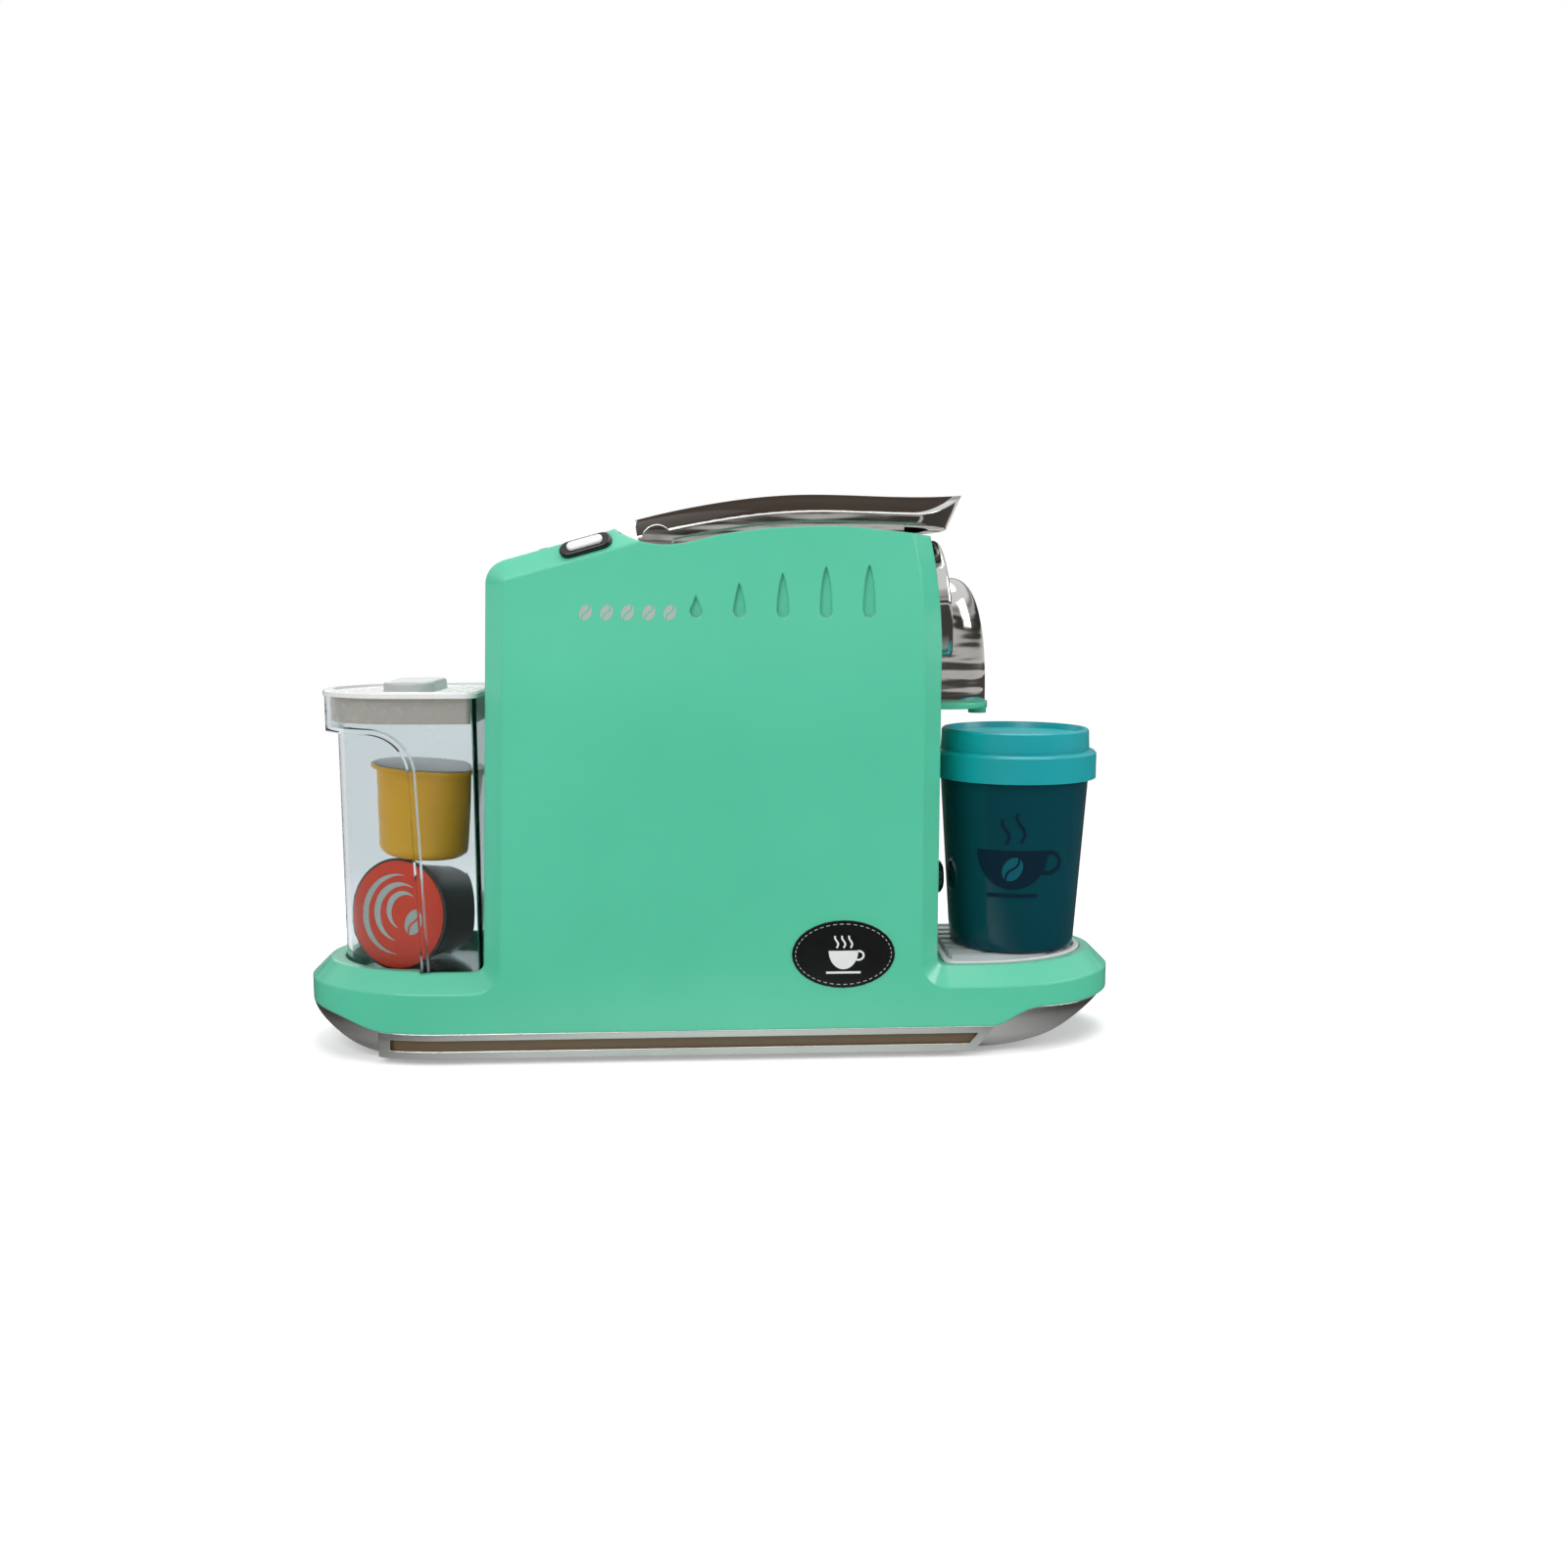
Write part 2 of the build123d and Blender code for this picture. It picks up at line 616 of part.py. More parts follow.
# ---------------------------------------------------------------- plinth and base plate
def pan_form(inset=0.0):
    """The plated pan as a closed form: a hull swept up at both ends, and the upright band round its middle."""
    low = pan_z + inset
    beyond = half_length + 2
    bow = [(keel_front_x + run, low + rise) for run, rise in bow_keel]
    stern = (keel_rear_x - stern_keel[0], low + stern_keel[1])
    with BuildPart() as form:
        for z, lean in hull_sections:
            with BuildSketch(Plane.XY.offset(z)):
                add(plan_outline(inset + lean))
        loft()
        with BuildPart(mode=Mode.PRIVATE) as band:
            with BuildSketch(Plane.XY):
                add(plan_outline(inset))
            extrude(amount=hull_top_z)
            with BuildSketch(Plane.XZ.offset(-half_width)) as ends:
                with BuildLine():
                    front = band_front_x - inset
                    Polyline((band_rear_x + inset, 0), (band_rear_x + inset, hull_top_z),
                             (front + band_slant * (hull_top_z - pan_z), hull_top_z), (front - band_slant * pan_z, 0),
                             close=True)
                make_face()
            extrude(ends.sketch, amount=base_width, dir=(0, -1, 0), mode=Mode.INTERSECT)
        add(band.part)
        with BuildSketch(Plane.XZ.offset(-half_width)) as side:
            with BuildLine():
                Spline((-beyond, low + stern_rise), stern, (keel_rear_x, low), tangents=((1, -1.2), (1, 0)))
                Line((keel_rear_x, low), (keel_front_x, low))
                Spline((keel_front_x, low), *bow, (beyond, low + bow_rise), tangents=((1, 0), (1, 1.3)))
                Polyline((beyond, low + bow_rise), (beyond, 40), (-beyond, 40), (-beyond, low + stern_rise))
            make_face()
        extrude(side.sketch, amount=base_width, dir=(0, -1, 0), mode=Mode.INTERSECT)
    return form.part


def countersunk(x, y, mode=Mode.ADD, ease=0.0):
    """A countersunk screw's head, standing on the underside of the pan."""
    with Locations((x, y, pan_z)):
        Cone(screw_head_d / 2 + ease, screw_d / 2 + ease, 1.4, align=(Align.CENTER, Align.CENTER, Align.MIN), mode=mode)


with BuildPart() as plinth:
    add(pan_form())
    add(pan_form(plinth_wall), mode=Mode.SUBTRACT)
    add(below_seam, mode=Mode.INTERSECT)
    with BuildPart(mode=Mode.PRIVATE) as groove:
        with BuildSketch(Plane.XZ.offset(-half_width)) as groove_side:
            with BuildLine():
                Polyline((groove_rear_x, groove_low), (groove_rear_x, groove_high), (groove_front_x, groove_high),
                         (groove_front_x - groove_slant, groove_low), (groove_rear_x, groove_low))
            make_face()
        extrude(groove_side.sketch, amount=base_width, dir=(0, -1, 0))
        with BuildSketch(Plane.XY):
            add(plan_outline(groove_depth))
        extrude(amount=deck_z, mode=Mode.SUBTRACT)
    add(groove.part, mode=Mode.SUBTRACT)
    box_between((window_rear_x, -window_half, 0), (window_front_x, window_half, pan_top_z), mode=Mode.SUBTRACT)
    for x, y in post_spots:
        rod((x, y, 0), (0, 0, 1), pan_top_z, screw_d + 0.4, mode=Mode.SUBTRACT)
        countersunk(x, y, Mode.SUBTRACT, 0.1)
    for x, y in foot_spots:
        rod((x, y, 0), (0, 0, 1), foot_height, foot_d, mode=Mode.SUBTRACT)
save(plinth, "plinth")

with BuildPart() as bottom_plate:
    box_between((window_rear_x + 0.2, 0.2 - window_half, pan_z), (window_front_x - 0.2, window_half - 0.2, pan_top_z))
    box_between((window_rear_x - 4, -lip_half, pan_top_z), (window_front_x + 4, lip_half, plate_top))
    box_between((-box_half_x - box_wall, -box_half_y - box_wall, pan_top_z),
                (box_half_x + box_wall, box_half_y + box_wall, box_roof_z))
    for x in (motor_rib_x, motor_rib_x + 14.0):
        box_between((x - 1, -7.0, pan_top_z), (x + 1, 7.0, pump_z - motor_flat / 2))
    for x in (-20.0, 20.0):
        for y in (-15.0, 15.0):
            rod((x, y, box_roof_z), (0, 0, 1), board_z - box_roof_z, 4.0)
    rod((door_screw_x, 0, pan_top_z), (0, 0, 1), door_screw_length, 6.0)
    box_between((-box_half_x, -box_half_y, 0), (box_half_x, box_half_y, box_roof_z - box_wall), mode=Mode.SUBTRACT)
    box_between((door_rear_x - 0.3, -door_half - 0.3, 0), (door_front_x + 0.3, door_half + 0.3, door_z),
                mode=Mode.SUBTRACT)
    rod((door_screw_x, 0, 0), (0, 0, 1), pan_z + door_screw_length + 0.2, screw_d, mode=Mode.SUBTRACT)
    for x, y in post_spots:
        rod((x, y, 0), (0, 0, 1), plate_top, screw_d + 0.4, mode=Mode.SUBTRACT)
        countersunk(x, y, Mode.SUBTRACT, 0.1)
    with Locations((speaker_x, 0, 0)):
        with GridLocations(4.2, 4.2, 4, 4):
            Cylinder(1.1, 20, mode=Mode.SUBTRACT)
save(bottom_plate, "bottom_plate")

with BuildPart() as battery_door:
    box_between((door_rear_x, -door_half, pan_z), (door_front_x, door_half, door_z))
    rod((door_screw_x, 0, 0), (0, 0, 1), 10.0, screw_d + 0.4, mode=Mode.SUBTRACT)
    countersunk(door_screw_x, 0, Mode.SUBTRACT, 0.1)
    for x in (-24.0, -20.0, -16.0):
        box_between((x - 0.8, -9.0, 0), (x + 0.8, 9.0, pan_z + 0.6), mode=Mode.SUBTRACT)
save(battery_door, "battery_door")

with BuildPart() as door_screw:
    countersunk(door_screw_x, 0)
    rod((door_screw_x, 0, pan_z), (0, 0, 1), door_screw_length, screw_d)
    box_between((door_screw_x - 2.0, -0.35, 0), (door_screw_x + 2.0, 0.35, pan_z + 0.6), mode=Mode.SUBTRACT)
    box_between((door_screw_x - 0.35, -2.0, 0), (door_screw_x + 0.35, 2.0, pan_z + 0.6), mode=Mode.SUBTRACT)
save(door_screw, "door_screw")

with BuildPart() as plate_screws:
    for x, y in post_spots:
        countersunk(x, y)
        rod((x, y, pan_z), (0, 0, 1), post_top_z - pan_z - 3.2, screw_d)
        box_between((x - 2.0, y - 0.35, 0), (x + 2.0, y + 0.35, pan_z + 0.6), mode=Mode.SUBTRACT)
        box_between((x - 0.35, y - 2.0, 0), (x + 0.35, y + 2.0, pan_z + 0.6), mode=Mode.SUBTRACT)
save(plate_screws, "plate_screws")

with BuildPart() as feet:
    for x, y in foot_spots:
        rod((x, y, 0), (0, 0, 1), foot_height, foot_d)
    chamfer(feet.faces().sort_by(Axis.Z)[:4].edges(), 0.4)
save(feet, "feet")

with BuildPart() as housing_screws:
    for x, z in boss_spots:
        rod((x, screw_seat_y, z), (0, 1, 0), 2.0, screw_head_d)
        rod((x, screw_tip_y + 2, z), (0, 1, 0), screw_seat_y - screw_tip_y - 2, screw_d)
        box_between((x - 2.0, screw_seat_y + 1.2, z - 0.35), (x + 2.0, screw_seat_y + 3, z + 0.35), mode=Mode.SUBTRACT)
        box_between((x - 0.35, screw_seat_y + 1.2, z - 2.0), (x + 0.35, screw_seat_y + 3, z + 2.0), mode=Mode.SUBTRACT)
save(housing_screws, "housing_screws")

# ---------------------------------------------------------------- battery cells and electrics
cell_rows = [(row - 1) * (cell_d + cell_gap) for row in range(cell_count)]

with BuildPart() as batteries:
    for row, y in enumerate(cell_rows):
        facing = -1 if row == 1 else 1
        rod((-facing * cell_length / 2, y, cell_z), (facing, 0, 0), cell_length, cell_d)
        rod((facing * cell_length / 2, y, cell_z), (facing, 0, 0), cell_nub, 5.4)
save(batteries, "batteries")

with BuildPart() as battery_contacts:
    for row, y in enumerate(cell_rows):
        for end in (-1, 1):
            nub = cell_nub if (end == 1) != (row == 1) else 0.0
            reach = cell_length / 2 + nub
            box_between((min(end * box_half_x, end * (box_half_x - 0.4)), y - 4, cell_z - 4.5),
                        (max(end * box_half_x, end * (box_half_x - 0.4)), y + 4, cell_z + 4.5))
            box_between((min(end * reach, end * (reach + 0.4)), y - 2.5, cell_z - 3),
                        (max(end * reach, end * (reach + 0.4)), y + 2.5, cell_z + 4.5))
            box_between((min(end * reach, end * box_half_x), y - 2.5, cell_z + 4.1),
                        (max(end * reach, end * box_half_x), y + 2.5, cell_z + 4.5))
save(battery_contacts, "battery_contacts")

with BuildPart() as circuit_board:
    box_between((-board_length / 2, -board_width / 2, board_z), (board_length / 2, board_width / 2, board_z + board_thickness))
    top = board_z + board_thickness
    box_between((-5.0, -4.0, top), (5.0, 4.0, top + 1.4))
    box_between((13.0, -12.0, top), (20.0, -6.0, top + 6.0))
    box_between((-21.0, 6.0, top), (-15.0, 14.0, top + 6.0))
    rod((15.0, 10.0, top), (0, 0, 1), 8.0, 6.3)
    rod((-13.0, -11.0, top), (0, 0, 1), 6.0, 5.0)
    for x in (-4.0, 4.0, 8.0):
        box_between((x - 0.8, 10.0, top), (x + 0.8, 13.2, top + 0.8))
save(circuit_board, "circuit_board")

with BuildPart() as speaker:
    rod((speaker_x, 0, plate_top), (0, 0, 1), 2.4, speaker_d)
    with Locations((speaker_x, 0, plate_top + 2.4)):
        Cone(speaker_d / 2 - 1, 9.0, 3.0, align=(Align.CENTER, Align.CENTER, Align.MIN))
    rod((speaker_x, 0, plate_top + 5.4), (0, 0, 1), 3.6, 17.0)
    rod((speaker_x, 0, plate_top), (0, 0, 1), 1.6, speaker_d - 3, mode=Mode.SUBTRACT)
    with Locations((speaker_x, 0, plate_top + 1.6)):
        Cone(speaker_d / 2 - 2.5, 5.0, 3.0, align=(Align.CENTER, Align.CENTER, Align.MIN), mode=Mode.SUBTRACT)
save(speaker, "speaker")

# ---------------------------------------------------------------- pump, socket and hoses
with BuildPart() as tank_seat:
    rod((outlet_x, 0, recess_low_z), (0, 0, 1), wall, seat_d)
    rod((outlet_x, 0, recess_low_z - seat_flange), (0, 0, 1), seat_flange, seat_d + 5)
    rod((outlet_x, 0, seat_floor_z - 2), (0, 0, 1), recess_low_z - seat_floor_z + 2, seat_cup_d)
    rod((outlet_x, 0, pump_z), (1, 0, 0), seat_cup_d / 2 + barb_length, inlet_bore_d)
    rod((outlet_x, 0, seat_floor_z), (0, 0, 1), 20, seat_bore_d, mode=Mode.SUBTRACT)
    rod((outlet_x, 0, recess_low_z - 0.8), (0, 0, 1), seal_height, seal_d, mode=Mode.SUBTRACT)
    rod((outlet_x, 0, pump_z), (1, 0, 0), 40, inlet_bore_d - 1.6, mode=Mode.SUBTRACT)
    rod((outlet_x, 0, seat_floor_z), (0, 0, 1), valve_stem_low_z - 0.3 - seat_floor_z, seat_pin_d)
save(tank_seat, "tank_seat")

with BuildPart() as tank_seal:
    rod((outlet_x, 0, recess_low_z - 0.8), (0, 0, 1), seal_height, seal_d)
    rod((outlet_x, 0, recess_low_z - 0.8), (0, 0, 1), seal_height, spigot_d + 0.1, mode=Mode.SUBTRACT)
save(tank_seal, "tank_seal")

with BuildPart() as pump_housing:
    rod((pump_rear_x, 0, pump_z), (1, 0, 0), pump_length, pump_d)
    rod((pump_rear_x - barb_length, 0, pump_z), (1, 0, 0), barb_length + 1, inlet_bore_d)
    rod((pump_x, 0, pump_z), (0, 0, 1), pump_d / 2 + 3, outlet_hose_d)
    rod((pump_x, 0, pump_z), (0, 0, 1), pump_d / 2 + 9, outlet_bore_d)
    rod((pump_rear_x + pump_wall, 0, pump_z), (1, 0, 0), pump_length - 2 * pump_wall, impeller_d + 1.2, mode=Mode.SUBTRACT)
    rod((pump_rear_x - 20, 0, pump_z), (1, 0, 0), 24, inlet_bore_d - 1.6, mode=Mode.SUBTRACT)
    rod((pump_x, 0, pump_z), (0, 0, 1), 40, outlet_bore_d - 1.2, mode=Mode.SUBTRACT)
    rod((pump_x, 0, pump_z), (1, 0, 0), 40, motor_shaft_d + 0.4, mode=Mode.SUBTRACT)
save(pump_housing, "pump_housing")

with BuildPart() as pump_motor:
    rod((motor_x, 0, pump_z), (1, 0, 0), motor_length, motor_d)
    box_between((motor_x, -motor_d, pump_z + motor_flat / 2), (motor_x + motor_length, motor_d, pump_z + motor_d),
                mode=Mode.SUBTRACT)
    box_between((motor_x, -motor_d, pump_z - motor_d), (motor_x + motor_length, motor_d, pump_z - motor_flat / 2),
                mode=Mode.SUBTRACT)
    rod((motor_x - 1, 0, pump_z), (1, 0, 0), 1.0, 6.2)
    rod((motor_x - 2, 0, pump_z), (1, 0, 0), 8.0, motor_shaft_d + 2 * pin_clearance, mode=Mode.SUBTRACT)
save(pump_motor, "pump_motor")

with BuildPart() as pump_impeller:
    rod((pump_rear_x + pump_wall + 2.4, 0, pump_z), (1, 0, 0), 5.6, 5.0)
    rod((pump_x, 0, pump_z), (1, 0, 0), motor_x + 5 - pump_x, motor_shaft_d)
    rod((pump_x + 2.6, 0, pump_z), (1, 0, 0), 1.0, impeller_d)
    with Locations(Location((pump_x + 0.4, 0, pump_z))):
        with PolarLocations(0, 1):
            Box(5.0, impeller_d, 1.0)
            Box(5.0, 1.0, impeller_d)
save(pump_impeller, "pump_impeller")

with BuildPart() as inlet_hose:
    hose_rear_x = outlet_x + seat_cup_d / 2 + 1
    rod((hose_rear_x, 0, pump_z), (1, 0, 0), pump_rear_x - 1 - hose_rear_x, inlet_hose_d)
    rod((hose_rear_x, 0, pump_z), (1, 0, 0), pump_rear_x - 1 - hose_rear_x, inlet_bore_d, mode=Mode.SUBTRACT)
save(inlet_hose, "inlet_hose")


def hose_solid(diameter):
    """The hose that climbs from the pump and runs forward to the spout."""
    with BuildPart() as hose:
        with BuildLine() as path:
            FilletPolyline(*[(x, 0, z) for x, z in hose_path], radius=hose_bend)
        with BuildSketch(Plane(origin=path.line @ 0, z_dir=path.line % 0)):
            Circle(diameter / 2)
        sweep(path=path.line)
    return hose.part


hose_path = (
    (pump_x, pump_z + pump_d / 2 + 3.5), (pump_x, 105.0), (-30.0, 121.5), (20.0, 118.5), (60.0, hose_z),
    (nozzle_x - 7.5, hose_z),
)
with BuildPart() as outlet_hose:
    add(hose_solid(outlet_hose_d))
    add(hose_solid(outlet_bore_d), mode=Mode.SUBTRACT)
save(outlet_hose, "outlet_hose")

# ---------------------------------------------------------------- water tank and what stands in it
with BuildPart() as water_tank:
    add(tank_form(tank_base_z, tank_top_z))
    add(tank_form(tank_floor_z, tank_top_z + 10, tank_wall), mode=Mode.SUBTRACT)
    rod((outlet_x, 0, spigot_low_z), (0, 0, 1), spigot_length + 0.5, spigot_d)
    rod((outlet_x, 0, valve_rest_z), (0, 0, 1), 6, valve_head_d + 0.6, mode=Mode.SUBTRACT)
    rod((outlet_x, 0, 0), (0, 0, 1), 40, valve_stem_d + 2, mode=Mode.SUBTRACT)
save(water_tank, "water_tank")

with BuildPart() as tank_valve:
    rod((outlet_x, 0, valve_rest_z), (0, 0, 1), 1.2, valve_head_d)
    rod((outlet_x, 0, valve_stem_low_z), (0, 0, 1), valve_rest_z + 0.5 - valve_stem_low_z, valve_stem_d)
save(tank_valve, "tank_valve")

with BuildPart() as tank_lid:
    with BuildSketch(Plane.XY.offset(lid_z)):
        add(tank_outline(-0.5))
    extrude(amount=lid_flange)
    chamfer(tank_lid.faces().sort_by(Axis.Z)[-1].edges(), 0.6)
    with BuildSketch(Plane.XY.offset(lid_z - lid_plug)):
        add(tank_outline(tank_wall + lid_clearance))
    extrude(amount=lid_plug)
    with BuildSketch(Plane.XY.offset(lid_z - lid_plug)):
        add(tank_outline(tank_wall + lid_clearance + lid_wall))
    extrude(amount=lid_plug + lid_flange - lid_sink - lid_wall, mode=Mode.SUBTRACT)
    with BuildSketch(Plane.XY.offset(lid_z + lid_flange - lid_sink)):
        add(tank_outline(3.0))
    extrude(amount=5, mode=Mode.SUBTRACT)
    with Locations((grip_x, 0, lid_z)):
        Box(2.0, 20.0, 10.0, mode=Mode.SUBTRACT)
save(tank_lid, "tank_lid")

with BuildPart() as lid_grip:
    with BuildSketch(Plane.XY.offset(lid_z + lid_flange - lid_sink)):
        with Locations((grip_x, 0)):
            RectangleRounded(grip_length, grip_width, 6.0)
    extrude(amount=grip_height + lid_sink, taper=4)
    fillet(lid_grip.faces().sort_by(Axis.Z)[-1].edges(), 1.2)
    box_between((grip_x - 1.0, -10.0, lid_z - 0.4), (grip_x + 1.0, 10.0, lid_z + 2))
save(lid_grip, "lid_grip")


def capsule_cup_form():
    """A capsule's cup on its base, closed side down, with the rim round its mouth."""
    base = capsule_base_d / 2
    top = capsule_top_d / 2
    rim = capsule_rim_d / 2
    rim_low = capsule_height - capsule_rim_thickness
    with BuildPart() as form:
        with BuildSketch(Plane.XZ) as profile:
            with BuildLine():
                Line((0, 0), (base - capsule_round, 0))
                TangentArc((base - capsule_round, 0), (base, capsule_round), tangent=(1, 0))
                Polyline((base, capsule_round), (top, rim_low), (rim, rim_low), (rim, capsule_height),
                         (top - capsule_wall, capsule_height), (base - capsule_wall, capsule_round))
                TangentArc((base - capsule_wall, capsule_round), (base - capsule_round, capsule_wall), tangent=(0, -1))
                Polyline((base - capsule_round, capsule_wall), (0, capsule_wall), (0, 0))
            make_face()
        revolve(profile.sketch, axis=Axis.Z)
    return form.part


def capsule_film_form():
    """The film sealed over a capsule's mouth."""
    with BuildPart() as form:
        with Locations((0, 0, capsule_height)):
            Cylinder(film_d / 2, film_thickness, align=(Align.CENTER, Align.CENTER, Align.MIN))
    return form.part


lying_tilt = degrees(atan2((capsule_rim_d - capsule_base_d) / 2, capsule_height))
lying_run = sqrt(lying_axis[0] ** 2 + lying_axis[1] ** 2)
lying_turn = degrees(atan2(lying_axis[1], lying_axis[0]))
film_to_base = capsule_height * cos(radians(lying_tilt))
lying_base = (
    lying_rim[0] + lying_axis[0] / lying_run * film_to_base,
    lying_rim[1] + lying_axis[1] / lying_run * film_to_base,
    tank_floor_z + 0.4 + capsule_base_d / 2,
)
upright_place = Location((upright_x, 0, upright_z), (0, upright_tilt, 0))
lying_place = Location(lying_base, (0, 0, lying_turn)) * Location((0, 0, 0), (0, -90 + lying_tilt, 0))

with BuildPart() as capsule_upright_cup:
    add(capsule_cup_form().moved(upright_place))
save(capsule_upright_cup, "capsule_upright_cup")

with BuildPart() as capsule_upright_film:
    add(capsule_film_form().moved(upright_place))
save(capsule_upright_film, "capsule_upright_film")

with BuildPart() as capsule_lying_cup:
    add(capsule_cup_form().moved(lying_place))
save(capsule_lying_cup, "capsule_lying_cup")

with BuildPart() as capsule_lying_film:
    add(capsule_film_form().moved(lying_place))
save(capsule_lying_film, "capsule_lying_film")


# ---------------------------------------------------------------- lever
def crown_form(drop=0.0, stepped=False):
    """The lever's crowned section run along its top line, lowered by a drop."""
    half = lever_half if stepped else lever_half + 4
    edge = -(lever_crown_r - sqrt(lever_crown_r**2 - half**2)) - drop
    with BuildPart() as crown:
        with BuildLine(Plane.XZ) as path:
            Spline(*lever_top)
        with BuildSketch(Plane(origin=path.line @ 0, x_dir=(0, 1, 0), z_dir=path.line % 0)):
            with BuildLine():
                ThreePointArc((-half, edge), (0, -drop), (half, edge))
                if stepped:
                    Polyline((half, edge), (half, edge - band_height), (half - band_step, edge - band_height),
                             (half - band_step, -34), (band_step - half, -34), (band_step - half, edge - band_height),
                             (-half, edge - band_height), (-half, edge))
                else:
                    Polyline((half, edge), (half, -34), (-half, -34), (-half, edge))
            make_face()
        sweep(path=path.line)
    return crown.part


def lever_outline(tip, inset):
    """The lever seen from above, with its rounded nose."""
    half = lever_half - inset
    nose_x = tip - lever_nose
    with BuildSketch() as outline:
        with BuildLine():
            Polyline((nose_x, half), (lever_rear_x + inset, half), (lever_rear_x + inset, -half), (nose_x, -half))
            EllipticalCenterArc((nose_x, 0), lever_nose, half, start_angle=-90, arc_size=180)
        make_face()
    return outline.sketch


def lever_block(inset=0.0, nose_inset=0.0):
    """The lever's outline as a block whose nose falls back towards its underside."""
    fall = (lever_tip_x - lever_heel_x) / 14.0
    tip = lever_tip_x - nose_inset
    with BuildPart() as block:
        with BuildSketch(Plane.XY.offset(158.0)):
            add(lever_outline(tip - 28 * fall, inset))
        with BuildSketch(Plane.XY.offset(194.0)):
            add(lever_outline(tip + 8 * fall, inset))
        loft(ruled=True)
    return block.part


with BuildPart() as inlay_pocket:
    add(lever_block(lever_rim, lever_nose_rim))
    add(crown_form(inlay_thickness), mode=Mode.SUBTRACT)

with BuildPart() as lever_inlay:
    add(inlay_pocket.part)
    add(crown_form(), mode=Mode.INTERSECT)
save(lever_inlay, "lever_inlay")

with BuildPart() as lever_hollow:
    add(lever_block(lever_rail + band_step, lever_rail + band_step))
    add(crown_form(inlay_thickness + lever_ceiling), mode=Mode.INTERSECT)

with BuildPart() as lever_frame:
    add(crown_form(stepped=True))
    add(lever_block(), mode=Mode.INTERSECT)
    with BuildSketch(Plane.XZ.offset(-half_width)) as underside:
        with BuildLine():
            Polyline((lever_rear_x - 5, tail_z), (lever_rear_x, tail_z), (lever_rear_x + 4.2, rail_low_z),
                     (channel_front_x - 1, rail_low_z), (channel_front_x - 1, nose_low_z), (100, nose_low_z),
                     (100, 130), (lever_rear_x - 5, 130), (lever_rear_x - 5, tail_z))
        make_face()
    extrude(underside.sketch, amount=base_width, dir=(0, -1, 0), mode=Mode.SUBTRACT)
    for side in (-1, 1):
        rod((pivot_x, side * lever_half, pivot_z), (0, -side, 0), lever_rail + band_step, 2 * knuckle_r)
    add(inlay_pocket.part, mode=Mode.SUBTRACT)
    add(lever_hollow.part, mode=Mode.SUBTRACT)
    for side in (-1, 1):
        notch_half = lug_thickness / 2 + 0.5
        box_between((lever_rear_x - 1, side * lug_y - notch_half, pivot_z - 9),
                    (pivot_x, side * lug_y + notch_half, pivot_z + 2.2), mode=Mode.SUBTRACT)
    rod((pivot_x, -pin_reach - 0.2, pivot_z), (0, 1, 0), 2 * pin_reach + 0.4, pin_d + 2 * pin_clearance, mode=Mode.SUBTRACT)
save(lever_frame, "lever_frame")

with BuildPart() as lever_pin:
    rod((pivot_x, -pin_reach, pivot_z), (0, 1, 0), 2 * pin_reach, pin_d)
save(lever_pin, "lever_pin")

with BuildPart() as capsule_chamber:
    mouth_z = channel_z + chamber_flange
    rod((chamber_x, 0, channel_z), (0, 0, 1), chamber_flange, chamber_inner_d + 2 * chamber_wall + 4)
    rod((chamber_x, 0, mouth_z), (0, 0, -1), chamber_depth + chamber_wall, chamber_inner_d + 2 * chamber_wall)
    rod((chamber_x, 0, mouth_z), (0, 0, -1), chamber_depth, chamber_inner_d, mode=Mode.SUBTRACT)
save(capsule_chamber, "capsule_chamber")

# ---------------------------------------------------------------- controls
pod_down = tuple(-pod_plane.z_dir)


def pod_slot(length, width, high, low, mode=Mode.ADD):
    """An oblong slab between two heights over the shoulder."""
    with BuildSketch(pod_plane.offset(high)) as slab:
        SlotOverall(length, width)
    extrude(slab.sketch, amount=high - low, dir=pod_down, mode=mode)


with BuildPart() as switch_pod:
    pod_slot(pod_length, pod_width, pod_height, 0)
    fillet(switch_pod.faces().sort_by(Axis(pod_plane.origin, pod_plane.z_dir))[-1].edges(), 0.6)
    pod_slot(button_length + 2 * button_clearance, button_width + 2 * button_clearance, 3, -1, Mode.SUBTRACT)
save(switch_pod, "switch_pod")

with BuildPart() as start_button:
    pod_slot(button_length, button_width, pod_height + button_proud, -0.3)
    fillet(start_button.faces().sort_by(Axis(pod_plane.origin, pod_plane.z_dir))[-1].edges(), 0.5)
    pod_slot(pod_neck_length - 0.6, pod_neck_width - 0.6, -0.1, -0.1 - button_flange)
    with BuildSketch(pod_plane) as plunger:
        Circle(plunger_d / 2)
    extrude(plunger.sketch, amount=plunger_reach, dir=pod_down)
save(start_button, "start_button")

with BuildPart() as button_board:
    with Locations(pod_plane.offset(-post_reach)):
        with Locations((-2.3, 0, -0.6)):
            Box(17.6, 7.0, 1.2)
        with Locations((0, 0, 0.4)):
            Box(6.0, 5.0, 0.8)
        with Locations((0, 0, 0.5)):
            Cylinder(1.3, 1.0)
save(button_board, "button_board")

with BuildPart() as power_knob:
    with Locations(knob_plane):
        with Locations((0, 0, 0.15 + knob_height / 2)):
            Box(knob_length, knob_width, knob_height)
        fillet(power_knob.edges(), 0.5)
        with Locations((0, 0, -wall / 2)):
            Box(stem_length, stem_width, wall + 1.0)
        with Locations((0, 0, -wall - 0.8)):
            Box(stem_length + 1.6, stem_width + 3, 1.0)
save(power_knob, "power_knob")

